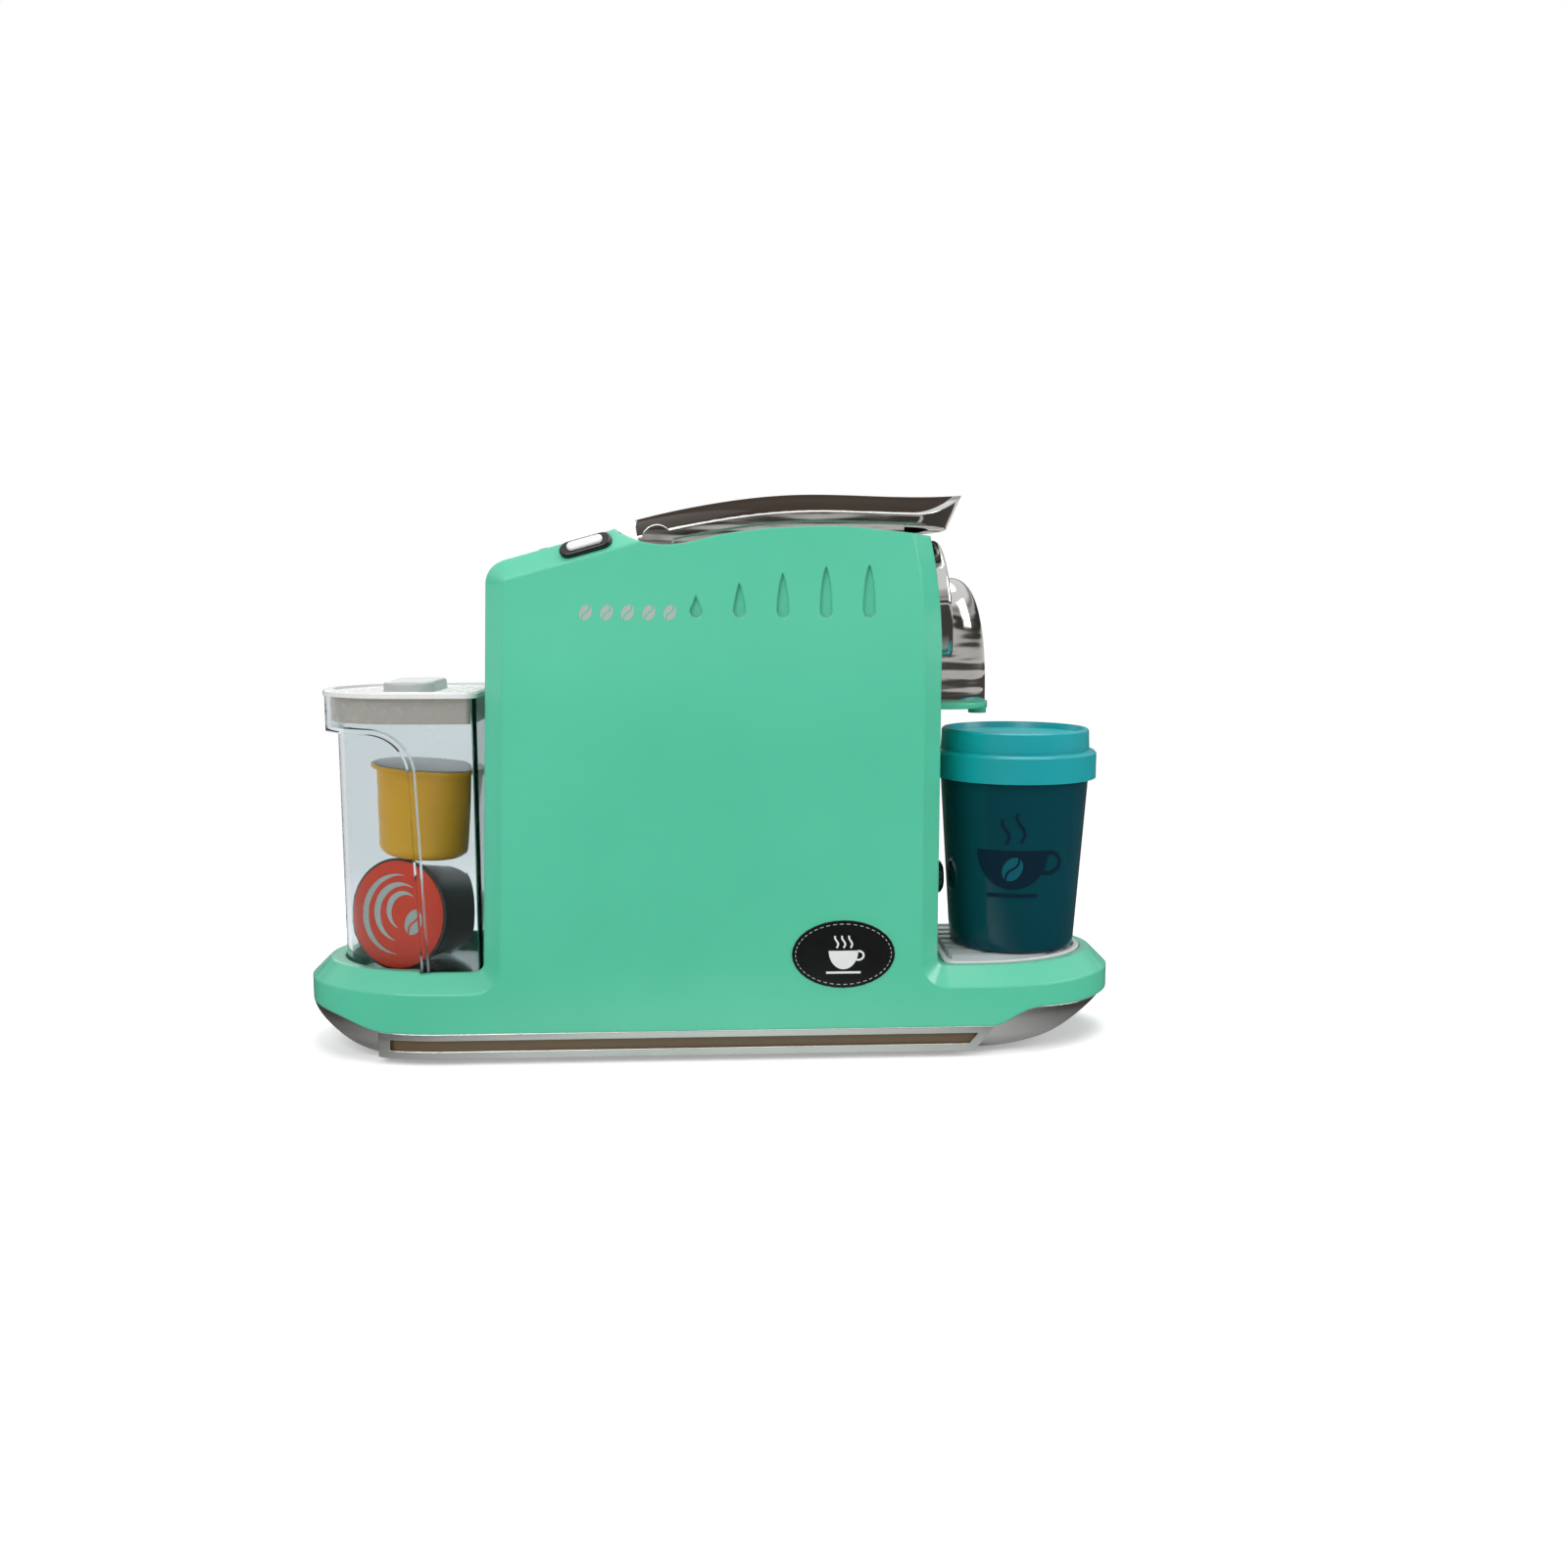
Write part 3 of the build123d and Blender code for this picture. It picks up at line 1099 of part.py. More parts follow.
# ---------------------------------------------------------------- front fittings
with BuildPart() as front_bezel:
    rod(bezel_plane.origin, bezel_normal, bezel_depth, bezel_d)
    fillet(front_bezel.faces().sort_by(Axis.X)[-1].edges(), 1.6)
save(front_bezel, "front_bezel")


def hood_plan(grow=0.0):
    """The spout seen from above: straight sides and a rounded front."""
    half = hood_half + grow
    with BuildSketch() as outline:
        with BuildLine():
            Polyline((hood_round_x, half), (60, half), (60, -half), (hood_round_x, -half))
            EllipticalCenterArc((hood_round_x, 0), hood_front_x - hood_round_x + grow, half,
                                start_angle=-90, arc_size=180)
        make_face()
    return outline.sketch


def hood_form(inset=0.0):
    """The spout's hood: rounded in plan, arched across its top and rounded over towards its front."""
    half = hood_half - inset
    top = hood_top_z - inset
    face = [(x - inset, z - inset) for x, z in hood_face]
    with BuildPart() as form:
        with BuildSketch(Plane.XY.offset(plate_top_z)):
            add(hood_plan(-inset))
        extrude(amount=top - plate_top_z)
        with BuildSketch(Plane.XZ.offset(-hood_half)) as side:
            with BuildLine():
                Spline((hood_front_x - inset, plate_top_z), *face, (hood_round_x, top), tangents=((0, 1), (-1, 0)))
                Polyline((hood_round_x, top), (60, top), (60, plate_top_z), (hood_front_x - inset, plate_top_z))
            make_face()
        extrude(side.sketch, amount=2 * hood_half, dir=(0, -1, 0), mode=Mode.INTERSECT)
        with BuildSketch(Plane.YZ.offset(60)) as arch:
            with BuildLine():
                Polyline((-half, hood_arch_z), (-half, plate_top_z), (half, plate_top_z), (half, hood_arch_z))
                EllipticalCenterArc((0, hood_arch_z), half, top - hood_arch_z, start_angle=0, arc_size=180)
            make_face()
        extrude(arch.sketch, amount=40, mode=Mode.INTERSECT)
    return form.part


with BuildPart() as spout_cover:
    add(hood_form())
    add(hood_form(hood_wall), mode=Mode.SUBTRACT)
    add(outer_form, mode=Mode.SUBTRACT)
    add(front_bezel.part, mode=Mode.SUBTRACT)
save(spout_cover, "spout_cover")

with BuildPart() as spout_plate:
    with BuildSketch(Plane.XY.offset(plate_top_z - plate_thickness)):
        add(hood_plan(plate_margin))
    extrude(amount=plate_thickness)
    add(outer_form, mode=Mode.SUBTRACT)
    rod((spigot_x, 0, plate_top_z), (0, 0, -1), 10, spout_spigot_d, mode=Mode.SUBTRACT)
save(spout_plate, "spout_plate")

with BuildPart() as nozzle:
    rod((nozzle_x, 0, plate_top_z - plate_thickness), (0, 0, -1), nozzle_drop, nozzle_d)
    rod((spigot_x, 0, plate_top_z - plate_thickness), (0, 0, 1), 9.3, spout_spigot_d)
    rod((spigot_x, 0, hose_z), (-1, 0, 0), 7.5, outlet_bore_d)
    rod((spout_bore_x, 0, 0), (0, 0, 1), hose_z, spout_bore_d, mode=Mode.SUBTRACT)
    rod((spout_bore_x, 0, hose_z), (-1, 0, 0), 30, spout_bore_d, mode=Mode.SUBTRACT)
save(nozzle, "nozzle")


def lamp_turned(points, mode=Mode.ADD):
    """A turned piece on the lamp's axis, from distances in front of the wall and radii."""
    with BuildSketch(Plane.XZ) as profile:
        with BuildLine():
            Polyline(*[(front_wall_x + along, lamp_z + r) for along, r in points])
        make_face()
    revolve(profile.sketch, axis=Axis((0, 0, lamp_z), (1, 0, 0)), mode=mode)


lens_r = lamp_lens_d / 2
lamp_r = lamp_d / 2
with BuildPart() as lamp_bezel:
    lamp_turned([(0, lens_r), (0, lamp_r), (3.6, lamp_r), (5.4, lamp_r - 0.7), (lamp_depth - 0.4, lamp_r - 2),
                 (lamp_depth - 0.6, lens_r), (0, lens_r)])
save(lamp_bezel, "lamp_bezel")

with BuildPart() as lamp_lens:
    lamp_turned([(1.7, 0), (1.7, lens_r), (lamp_depth - 1.4, lens_r), (lamp_depth - 0.6, lens_r * 0.8),
                 (lamp_depth - 0.2, lens_r * 0.45), (lamp_depth, 0), (1.7, 0)])
save(lamp_lens, "lamp_lens")

with BuildPart() as lamp_led:
    rod((front_wall_x - wall - 1.0, 0, lamp_z), (1, 0, 0), 1.0, led_d + 0.8)
    rod((front_wall_x - wall, 0, lamp_z), (1, 0, 0), wall + 1.4, led_d)
    for y in (-1.27, 1.27):
        rod((front_wall_x - wall - 7.0, y, lamp_z), (1, 0, 0), 6.0, 0.6)
save(lamp_led, "lamp_led")

# ---------------------------------------------------------------- drip tray, cup and lid
with BuildPart() as drip_tray:
    with BuildSketch(Plane.XY.offset(tray_floor_z)):
        add(tray_outline(tray_clearance))
    extrude(amount=tray_recess + tray_rim)
    chamfer(drip_tray.faces().sort_by(Axis.Z)[-1].edges(), 0.4)
    with BuildSketch(Plane.XY.offset(tray_floor_z + 1.2)):
        add(tray_outline(tray_clearance + 1.8))
    extrude(amount=10, mode=Mode.SUBTRACT)
    with BuildPart(mode=Mode.PRIVATE) as bars:
        for row in range(-bar_rows, bar_rows + 1):
            box_between((tray_rear_x, row * bar_pitch - bar_width / 2, tray_floor_z + 0.6),
                        (tray_front_x, row * bar_pitch + bar_width / 2, cup_base_z - 0.1))
        with BuildSketch(Plane.XY.offset(tray_floor_z)):
            add(tray_outline(tray_clearance + 3.4))
        extrude(amount=10, mode=Mode.INTERSECT)
    add(bars.part)
save(drip_tray, "drip_tray")


def turned(centre_x, points):
    """A turned solid standing on an upright axis, from radii and heights."""
    with BuildPart() as form:
        with BuildSketch(Plane.XZ) as profile:
            with BuildLine():
                Polyline(*[(centre_x + r, z) for r, z in points], close=True)
            make_face()
        revolve(profile.sketch, axis=Axis((centre_x, 0, 0), (0, 0, 1)))
    return form.part


with BuildPart() as cup:
    add(turned(cup_x, [
        (0, cup_base_z), (cup_base_r - 1, cup_base_z), (cup_base_r, cup_base_z + 1), (cup_rim_r, cup_rim_z - 0.4),
        (cup_rim_r - 0.4, cup_rim_z), (cup_rim_r - cup_wall, cup_rim_z), (cup_base_r - cup_wall, cup_base_z + 1.8),
        (0, cup_base_z + 1.8),
    ]))
save(cup, "cup")

with BuildPart() as cup_lid:
    add(turned(cup_x, [
        (cup_rim_r + 0.4, lid_band_low_z), (lid_band_r, lid_band_low_z), (lid_band_r, lid_band_high_z - 0.8),
        (lid_band_r - 0.8, lid_band_high_z), (lid_top_r, lid_band_high_z + 0.3), (lid_top_r - 0.3, lid_top_z - 0.6),
        (lid_top_r - 0.9, lid_top_z), (lid_top_r - 2.0, lid_top_z), (lid_top_r - 2.6, lid_ceiling_z),
        (0, lid_ceiling_z), (0, lid_ceiling_z - cup_wall), (lid_top_r - cup_wall, lid_ceiling_z - cup_wall),
        (lid_top_r - cup_wall, cup_rim_z + 0.15), (cup_rim_r + 0.4, cup_rim_z + 0.15),
    ]))
    rod((spout_bore_x, 0, lid_top_z), (0, 0, -1), 10, sip_hole_d, mode=Mode.SUBTRACT)
save(cup_lid, "cup_lid")
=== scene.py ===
"""Toy capsule coffee machine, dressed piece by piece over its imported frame.

The sections follow the way the toy is put together: the housing and its prints, the base, the
lever and the spout, the small mouldings, the tank, what is inside, the capsules and the cup.
Everything is in metres, in the frame's own axes: X to the spout, Y to the machine's left, Z up.
"""

from math import cos, pi, radians, sin, sqrt

import bmesh
import bpy
from mathutils import Matrix, Vector


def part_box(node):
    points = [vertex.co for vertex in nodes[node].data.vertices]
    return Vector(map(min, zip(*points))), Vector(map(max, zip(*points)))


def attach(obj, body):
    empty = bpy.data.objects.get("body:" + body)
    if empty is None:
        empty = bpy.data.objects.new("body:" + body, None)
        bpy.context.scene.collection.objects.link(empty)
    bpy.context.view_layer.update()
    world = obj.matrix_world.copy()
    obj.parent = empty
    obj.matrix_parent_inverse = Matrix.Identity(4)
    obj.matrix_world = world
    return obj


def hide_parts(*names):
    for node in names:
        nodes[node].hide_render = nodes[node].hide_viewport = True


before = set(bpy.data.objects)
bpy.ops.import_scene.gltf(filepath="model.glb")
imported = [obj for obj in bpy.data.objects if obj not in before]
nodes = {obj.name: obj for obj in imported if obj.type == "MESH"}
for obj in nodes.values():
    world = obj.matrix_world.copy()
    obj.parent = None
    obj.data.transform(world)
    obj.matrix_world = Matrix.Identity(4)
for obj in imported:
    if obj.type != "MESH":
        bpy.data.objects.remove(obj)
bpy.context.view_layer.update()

# ---------------------------------------------------------------- camera
# A short wide lens half a metre off the toy's right side and a little below its
# top, looking slightly down and towards the spout.
looks_down = radians(7.4)
looks_aside = radians(3.0)
eye = bpy.data.objects.new("eye", bpy.data.cameras.new("eye"))
eye.data.sensor_width = 36.0
eye.data.lens = 31.5
eye.data.clip_start = 0.01
eye.location = (-0.0005, -0.472, 0.1483)
eye.rotation_euler = (pi / 2 - looks_down, 0, -looks_aside)
bpy.context.collection.objects.link(eye)
bpy.context.scene.camera = eye
bpy.context.scene.view_settings.view_transform = "Standard"


# ---------------------------------------------------------------- table, room and lamps
# A matt white paper sweep under four cloth-covered lamps, which fades to plain
# white past the light. Gloss mirrors a room with a bright ceiling and a bright
# band of windows over darker walls, and paper that darkens away from the toy.
def linear(code):
    """An sRGB hex colour as the linear colour that a shader takes."""
    parts = [int(code[i : i + 2], 16) / 255 for i in (1, 3, 5)]
    return (*[c / 12.92 if c <= 0.04045 else ((c + 0.055) / 1.055) ** 2.4 for c in parts], 1.0)


def add_node(tree, kind, inputs=None, **settings):
    """Adds a shader node with its settings; an input is a value or another node's output."""
    made = tree.nodes.new(kind)
    for key, value in settings.items():
        setattr(made, key, value)
    for socket, value in (inputs or {}).items():
        if isinstance(value, bpy.types.NodeSocket):
            tree.links.new(value, made.inputs[socket])
        else:
            made.inputs[socket].default_value = value
    return made


def set_stops(ramp, *stops):
    """Puts those colours at those places along a colour ramp."""
    for stop, (at, code) in zip(ramp.color_ramp.elements, (stops[0], stops[-1])):
        stop.position = at
        stop.color = linear(code)
    for at, code in stops[1:-1]:
        ramp.color_ramp.elements.new(at).color = linear(code)


def mirrored_rays(tree, ray):
    """One for a ray that a surface mirrors, nothing for one that has come through clear plastic."""
    direct = add_node(tree, "ShaderNodeMath", {0: 1.0, 1: ray.outputs["Is Transmission Ray"]},
                      operation="SUBTRACT")
    mirrored = add_node(tree, "ShaderNodeMath", {0: direct.outputs[0], 1: ray.outputs["Is Glossy Ray"]},
                        operation="MULTIPLY")
    return mirrored.outputs[0]


room = bpy.data.worlds.new("pale_room")
bpy.context.scene.world = room
room.use_nodes = True
tree = room.node_tree
tree.nodes.clear()
ray = add_node(tree, "ShaderNodeLightPath")
direction = add_node(tree, "ShaderNodeTexCoord")
height = add_node(tree, "ShaderNodeSeparateXYZ", {"Vector": direction.outputs["Generated"]})
in_gloss = add_node(tree, "ShaderNodeValToRGB", {"Fac": height.outputs["Z"]})
set_stops(in_gloss, (0.0, "#dcdad7"), (0.045, "#c9c7c3"), (0.075, "#3a3835"), (0.17, "#423f3b"),
          (0.23, "#d2d1cf"), (0.33, "#8b8986"), (0.5, "#ffffff"))
seen = add_node(tree, "ShaderNodeMixRGB", {"Fac": mirrored_rays(tree, ray), "Color1": linear("#ffffff"),
                                           "Color2": in_gloss.outputs["Color"]})
shows = add_node(tree, "ShaderNodeMath",
                 {0: ray.outputs["Is Camera Ray"], 1: ray.outputs["Is Glossy Ray"]}, operation="MAXIMUM")
shows_clear = add_node(tree, "ShaderNodeMath",
                       {0: shows.outputs[0], 1: ray.outputs["Is Transmission Ray"]}, operation="MAXIMUM")
lights_up = add_node(tree, "ShaderNodeBackground", {"Color": linear("#dfe3e6"), "Strength": 0.42})
looks = add_node(tree, "ShaderNodeBackground", {"Color": seen.outputs["Color"], "Strength": 1.0})
both = add_node(tree, "ShaderNodeMixShader",
                {0: shows_clear.outputs[0], 1: lights_up.outputs[0], 2: looks.outputs[0]})
add_node(tree, "ShaderNodeOutputWorld", {"Surface": both.outputs[0]})

mm = 0.001
paper_drop = 0.1 * mm      # the paper lies this far under the feet
bpy.ops.mesh.primitive_plane_add(size=6.0, location=(0, 0, -paper_drop))
table = bpy.context.object
table.name = "paper_table"


def start_material(name, **sockets):
    """A new material and its principled shader, with those socket values."""
    made = bpy.data.materials.new(name)
    made.use_nodes = True
    shader = made.node_tree.nodes["Principled BSDF"]
    for socket, value in sockets.items():
        shader.inputs[socket.replace("_", " ")].default_value = value
    return made, made.node_tree, shader


fade_starts, fade_ends = 0.16, 0.42      # how far out the paper turns plain white
dark_starts, dark_ends = 0.06, 0.17      # how far out it darkens in gloss
paper, tree, shader = start_material("matt_white_paper_sweep", Base_Color=linear("#f4f4f4"), Roughness=0.9)
ray = add_node(tree, "ShaderNodeLightPath")
spot = add_node(tree, "ShaderNodeTexCoord")
reach = add_node(tree, "ShaderNodeVectorMath", {0: spot.outputs["Object"]}, operation="LENGTH")
fade = add_node(tree, "ShaderNodeMapRange",
                {"Value": reach.outputs["Value"], "From Min": fade_starts, "From Max": fade_ends},
                interpolation_type="SMOOTHSTEP")
lift = add_node(tree, "ShaderNodeEmission", {"Color": linear("#ffffff"), "Strength": 0.30})
near = add_node(tree, "ShaderNodeAddShader", {0: shader.outputs[0], 1: lift.outputs[0]})
far = add_node(tree, "ShaderNodeEmission", {"Color": linear("#ffffff"), "Strength": 1.0})
swept = add_node(tree, "ShaderNodeMixShader", {0: fade.outputs[0], 1: near.outputs[0], 2: far.outputs[0]})
darkens = add_node(tree, "ShaderNodeMapRange",
                   {"Value": reach.outputs["Value"], "From Min": dark_starts, "From Max": dark_ends},
                   interpolation_type="SMOOTHSTEP")
dark = add_node(tree, "ShaderNodeEmission", {"Color": linear("#4d4a47"), "Strength": 1.0})
dark_part = add_node(tree, "ShaderNodeMath", {0: darkens.outputs[0], 1: mirrored_rays(tree, ray)},
                     operation="MULTIPLY")
plain = add_node(tree, "ShaderNodeMixShader",
                 {0: dark_part.outputs[0], 1: shader.outputs[0], 2: dark.outputs[0]})
clear_view = add_node(tree, "ShaderNodeMath",
                      {0: ray.outputs["Is Camera Ray"], 1: ray.outputs["Is Transmission Ray"]},
                      operation="MAXIMUM")
mixed = add_node(tree, "ShaderNodeMixShader",
                 {0: clear_view.outputs[0], 1: plain.outputs[0], 2: swept.outputs[0]})
tree.links.new(mixed.outputs[0], tree.nodes["Material Output"].inputs["Surface"])
table.data.materials.append(paper)

toy_middle = Vector((0, 0, 0.09))
for lamp_name, stands, size, watts in (
    ("front_lamp", (-0.55, -0.95, 0.95), 0.8, 8.2),
    ("top_lamp", (0.15, 0.1, 1.25), 0.9, 8.6),
    ("side_lamp", (1.1, -0.35, 0.6), 0.6, 4.0),
    ("back_lamp", (-0.5, 1.0, 0.8), 0.8, 5.0),
):
    lamp = bpy.data.objects.new(lamp_name, bpy.data.lights.new(lamp_name, "AREA"))
    lamp.data.shape = "SQUARE"
    lamp.data.size = size
    lamp.data.energy = watts
    lamp.location = stands
    lamp.rotation_mode = "QUATERNION"
    lamp.rotation_quaternion = (Vector(stands) - toy_middle).to_track_quat("Z", "Y")
    bpy.context.collection.objects.link(lamp)


# ---------------------------------------------------------------- housing
# Two halves moulded in mint ABS from a polished tool, so the skin is glossy
# with a faint ripple, and sinks a little over the bosses and ribs inside.
def clouded(name, dark, light, size, detail, ends=(0.0, 1.0), **sockets):
    """A new material whose colour drifts between two, in clouds about that large."""
    made, tree, shader = start_material(name, **sockets)
    place = add_node(tree, "ShaderNodeTexCoord")
    cloud = add_node(tree, "ShaderNodeTexNoise",
                     {"Vector": place.outputs["Object"], "Scale": 1 / size, "Detail": detail})
    tint = add_node(tree, "ShaderNodeValToRGB", {"Fac": cloud.outputs["Fac"]})
    set_stops(tint, (ends[0], dark), (ends[1], light))
    tree.links.new(tint.outputs["Color"], shader.inputs["Base Color"])
    return made, tree, shader, place, cloud, tint


def wipe(tree, shader, size, detail, smooth, rough):
    """Lets the roughness drift between two values, in patches about that large."""
    place = add_node(tree, "ShaderNodeTexCoord")
    patch = add_node(tree, "ShaderNodeTexNoise",
                     {"Vector": place.outputs["Object"], "Scale": 1 / size, "Detail": detail})
    wiped = add_node(tree, "ShaderNodeMapRange",
                     {"Value": patch.outputs["Fac"], "To Min": smooth, "To Max": rough})
    tree.links.new(wiped.outputs[0], shader.inputs["Roughness"])


def dress(material, *names):
    """Gives CAD nodes their finish."""
    for name in names:
        for slot in nodes[name].material_slots:
            slot.material = material


mint, tree, shader, place, *_ = clouded("injection_moulded_abs_mint", "#53c29e", "#59c8a4", 70 * mm, 2.0,
                                        ends=(0.3, 0.7), Roughness=0.2, IOR=1.53, Coat_Weight=0.25,
                                        Coat_Roughness=0.06)
wipe(tree, shader, 4 * mm, 3.0, smooth=0.15, rough=0.26)
ripple = add_node(tree, "ShaderNodeTexNoise",
                  {"Vector": place.outputs["Object"], "Scale": 1 / (22 * mm), "Detail": 1.0})
rounded = add_node(tree, "ShaderNodeBevel", {"Radius": 1.2 * mm}, samples=6)
skin = add_node(tree, "ShaderNodeBump", {"Height": ripple.outputs["Fac"], "Strength": 0.12,
                                         "Distance": 0.6 * mm, "Normal": rounded.outputs[0]})
tree.links.new(skin.outputs[0], shader.inputs["Normal"])
dress(mint, "right_shell", "left_shell", "spout_plate", "nozzle")


# ---------------------------------------------------------------- prints on the housing
# Pad-printed marks on the right side: a row of five beans for the strength, and
# an oval glossy sticker with a stitched line and a steaming cup.
def stroke(points, width):
    """The two edges of a line of even width drawn through those points."""
    spots = [Vector(point) for point in points]
    edges = ([], [])
    for step, spot in enumerate(spots):
        run = spots[min(step + 1, len(spots) - 1)] - spots[max(step - 1, 0)]
        side = Vector((-run.y, run.x)).normalized() * width / 2
        edges[0].append(spot + side)
        edges[1].append(spot - side)
    return edges


def oval(centre, half_width, half_height, start, end, steps):
    """Points along an ellipse, from one angle to another."""
    angles = [start + (end - start) * step / steps for step in range(steps + 1)]
    return [Vector(centre) + Vector((half_width * cos(a), half_height * sin(a))) for a in angles]


def bowl(middle, half_width, depth, steps):
    """A bowl seen from its side: the round of its body and the line of its rim."""
    x, z = middle
    rim = [Vector((x + half_width * (2 * step / steps - 1), z)) for step in range(steps + 1)]
    return oval(middle, half_width, depth, pi, 2 * pi, steps), rim


def wisp(foot, height, sway):
    """Points up a curl of steam, which leans to one side and then to the other."""
    steps, leans = 12, 1.7
    return [Vector(foot) + Vector((sway * sin(leans * pi * step / steps), height * step / steps))
            for step in range(steps + 1)]


def ink_print(name, bands, material, body, place, lift):
    """Lays flat bands of ink on a surface; place gives a point from two sizes and a lift."""
    mesh = bmesh.new()
    for one_side, other_side in bands:
        rows = [[mesh.verts.new(place(u, v, lift)) for u, v in side] for side in (one_side, other_side)]
        for step in range(len(one_side) - 1):
            corners = [rows[0][step], rows[0][step + 1], rows[1][step + 1], rows[1][step]]
            face = mesh.faces.new(corners)
            face.normal_update()
            u, v = one_side[step]
            if face.normal.dot(place(u, v, 1.0) - place(u, v, 0.0)) < 0:
                face.normal_flip()
    bmesh.ops.remove_doubles(mesh, verts=mesh.verts, dist=1e-6)
    made = bpy.data.meshes.new(name)
    mesh.to_mesh(made)
    mesh.free()
    made.materials.append(material)
    piece = bpy.data.objects.new(name, made)
    bpy.context.collection.objects.link(piece)
    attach(piece, body)
    return piece


def printed_ink(name, dark, light, roughness, gloss=0.5):
    """Dried printing ink: a thin satin film with a faint screen of pinholes."""
    return clouded(name, dark, light, 0.6 * mm, 2.0, Roughness=roughness, IOR=1.5,
                   Specular_IOR_Level=gloss)[0]


def bean(centre, length, turn):
    """A coffee bean: two filled halves with a gap along its crease."""
    half_breadth, crease_sway, half_gap = 0.36, 0.09, 0.045      # as shares of its length
    steps = 12
    tilt = Matrix.Rotation(turn, 2)
    halves = []
    for side in (-1, 1):
        rails = ([], [])
        for step in range(steps + 1):
            along = step / steps - 0.5
            edge = half_breadth * sqrt(max(0.0, 1 - (2 * along) ** 2))
            inner = crease_sway * sin(2 * pi * along) + side * half_gap
            outer = side * max(edge, side * inner)
            rails[0].append(Vector(centre) + tilt @ Vector((inner * length, along * length)))
            rails[1].append(Vector(centre) + tilt @ Vector((outer * length, along * length)))
        halves.append(rails)
    return halves


def steaming_cup(middle, width):
    """A cup on its saucer under three curls of steam, all drawn to one width."""
    x, z = middle
    bowl_half, bowl_depth, handle_drop = 0.36 * width, 0.46 * width, 0.12 * width
    saucer_half, saucer_drop = 0.42 * width, 0.54 * width
    curl_pitch, curl_lift, curl_height, curl_sway = 0.17 * width, 0.07 * width, 0.3 * width, 0.04 * width
    handle = oval((x + bowl_half, z - handle_drop), 0.13 * width, 0.11 * width, -1.9, 1.7, 12)
    saucer = [(x + side * saucer_half, z - saucer_drop) for side in (-1, 1)]
    curls = [wisp((x + side * curl_pitch, z + curl_lift), curl_height, curl_sway) for side in (-1, 0, 1)]
    return [bowl(middle, bowl_half, bowl_depth, 16), stroke(handle, 0.05 * width),
            stroke(saucer, 0.055 * width), *[stroke(curl, 0.045 * width) for curl in curls]]


side_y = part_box("right_shell")[0][1]


def side_place(u, v, lift):
    """A point over the right side face, from its place along X and its height."""
    return Vector((u, side_y - lift, v))


ink_lift = 0.06 * mm
grey_ink = printed_ink("pad_printed_ink_grey", "#a3b0a8", "#b3beb6", 0.4)
white_ink = printed_ink("pad_printed_ink_white", "#dcdcda", "#ebebea", 0.35)
first_bean_x, bean_pitch, bean_z, bean_length = -40.0 * mm, 6.6 * mm, 146.2 * mm, 5.2 * mm
beans = []
for count in range(5):
    beans += bean((first_bean_x + bean_pitch * count, bean_z), bean_length, radians(-28))
ink_print("strength_beans", beans, grey_ink, "machine", side_place, ink_lift)

sticker, tree, shader, _, peel, _ = clouded("laminated_vinyl_sticker_black", "#0d0e0e", "#191a1b", 2.5 * mm,
                                            2.0, Roughness=0.16, IOR=1.5)
skin = add_node(tree, "ShaderNodeBump",
                {"Height": peel.outputs["Fac"], "Strength": 0.15, "Distance": 0.1 * mm})
tree.links.new(skin.outputs[0], shader.inputs["Normal"])
badge_at = (41.8 * mm, 35.4 * mm)
badge_half_width, badge_half_height = 16.9 * mm, 11.3 * mm
badge_lift, badge_thickness, badge_edge = 0.3 * mm, 0.28 * mm, 0.08 * mm
film = [oval(badge_at, badge_half_width, badge_half_height, pi, end, 16) for end in (0.0, 2 * pi)]
badge = ink_print("oval_sticker", [film], sticker, "machine", side_place, badge_lift)
badge.modifiers.new("film", "SOLIDIFY").thickness = badge_thickness
badge.modifiers.new("soft_edge", "BEVEL").width = badge_edge

stitch_count, stitch_turn, stitch_margin, stitch_width = 44, 0.08, 1.2 * mm, 0.24 * mm
stitches = []
for count in range(stitch_count):
    start = 2 * pi * count / stitch_count
    stitch = oval(badge_at, badge_half_width - stitch_margin, badge_half_height - stitch_margin, start,
                  start + stitch_turn, 3)
    stitches.append(stroke(stitch, stitch_width))
ink_print("sticker_stitches", stitches, grey_ink, "machine", side_place, badge_lift + ink_lift)
cup_on_badge = steaming_cup((badge_at[0], badge_at[1] + 1.2 * mm), 13.5 * mm)
ink_print("sticker_cup", cup_on_badge, white_ink, "machine", side_place, badge_lift + ink_lift)


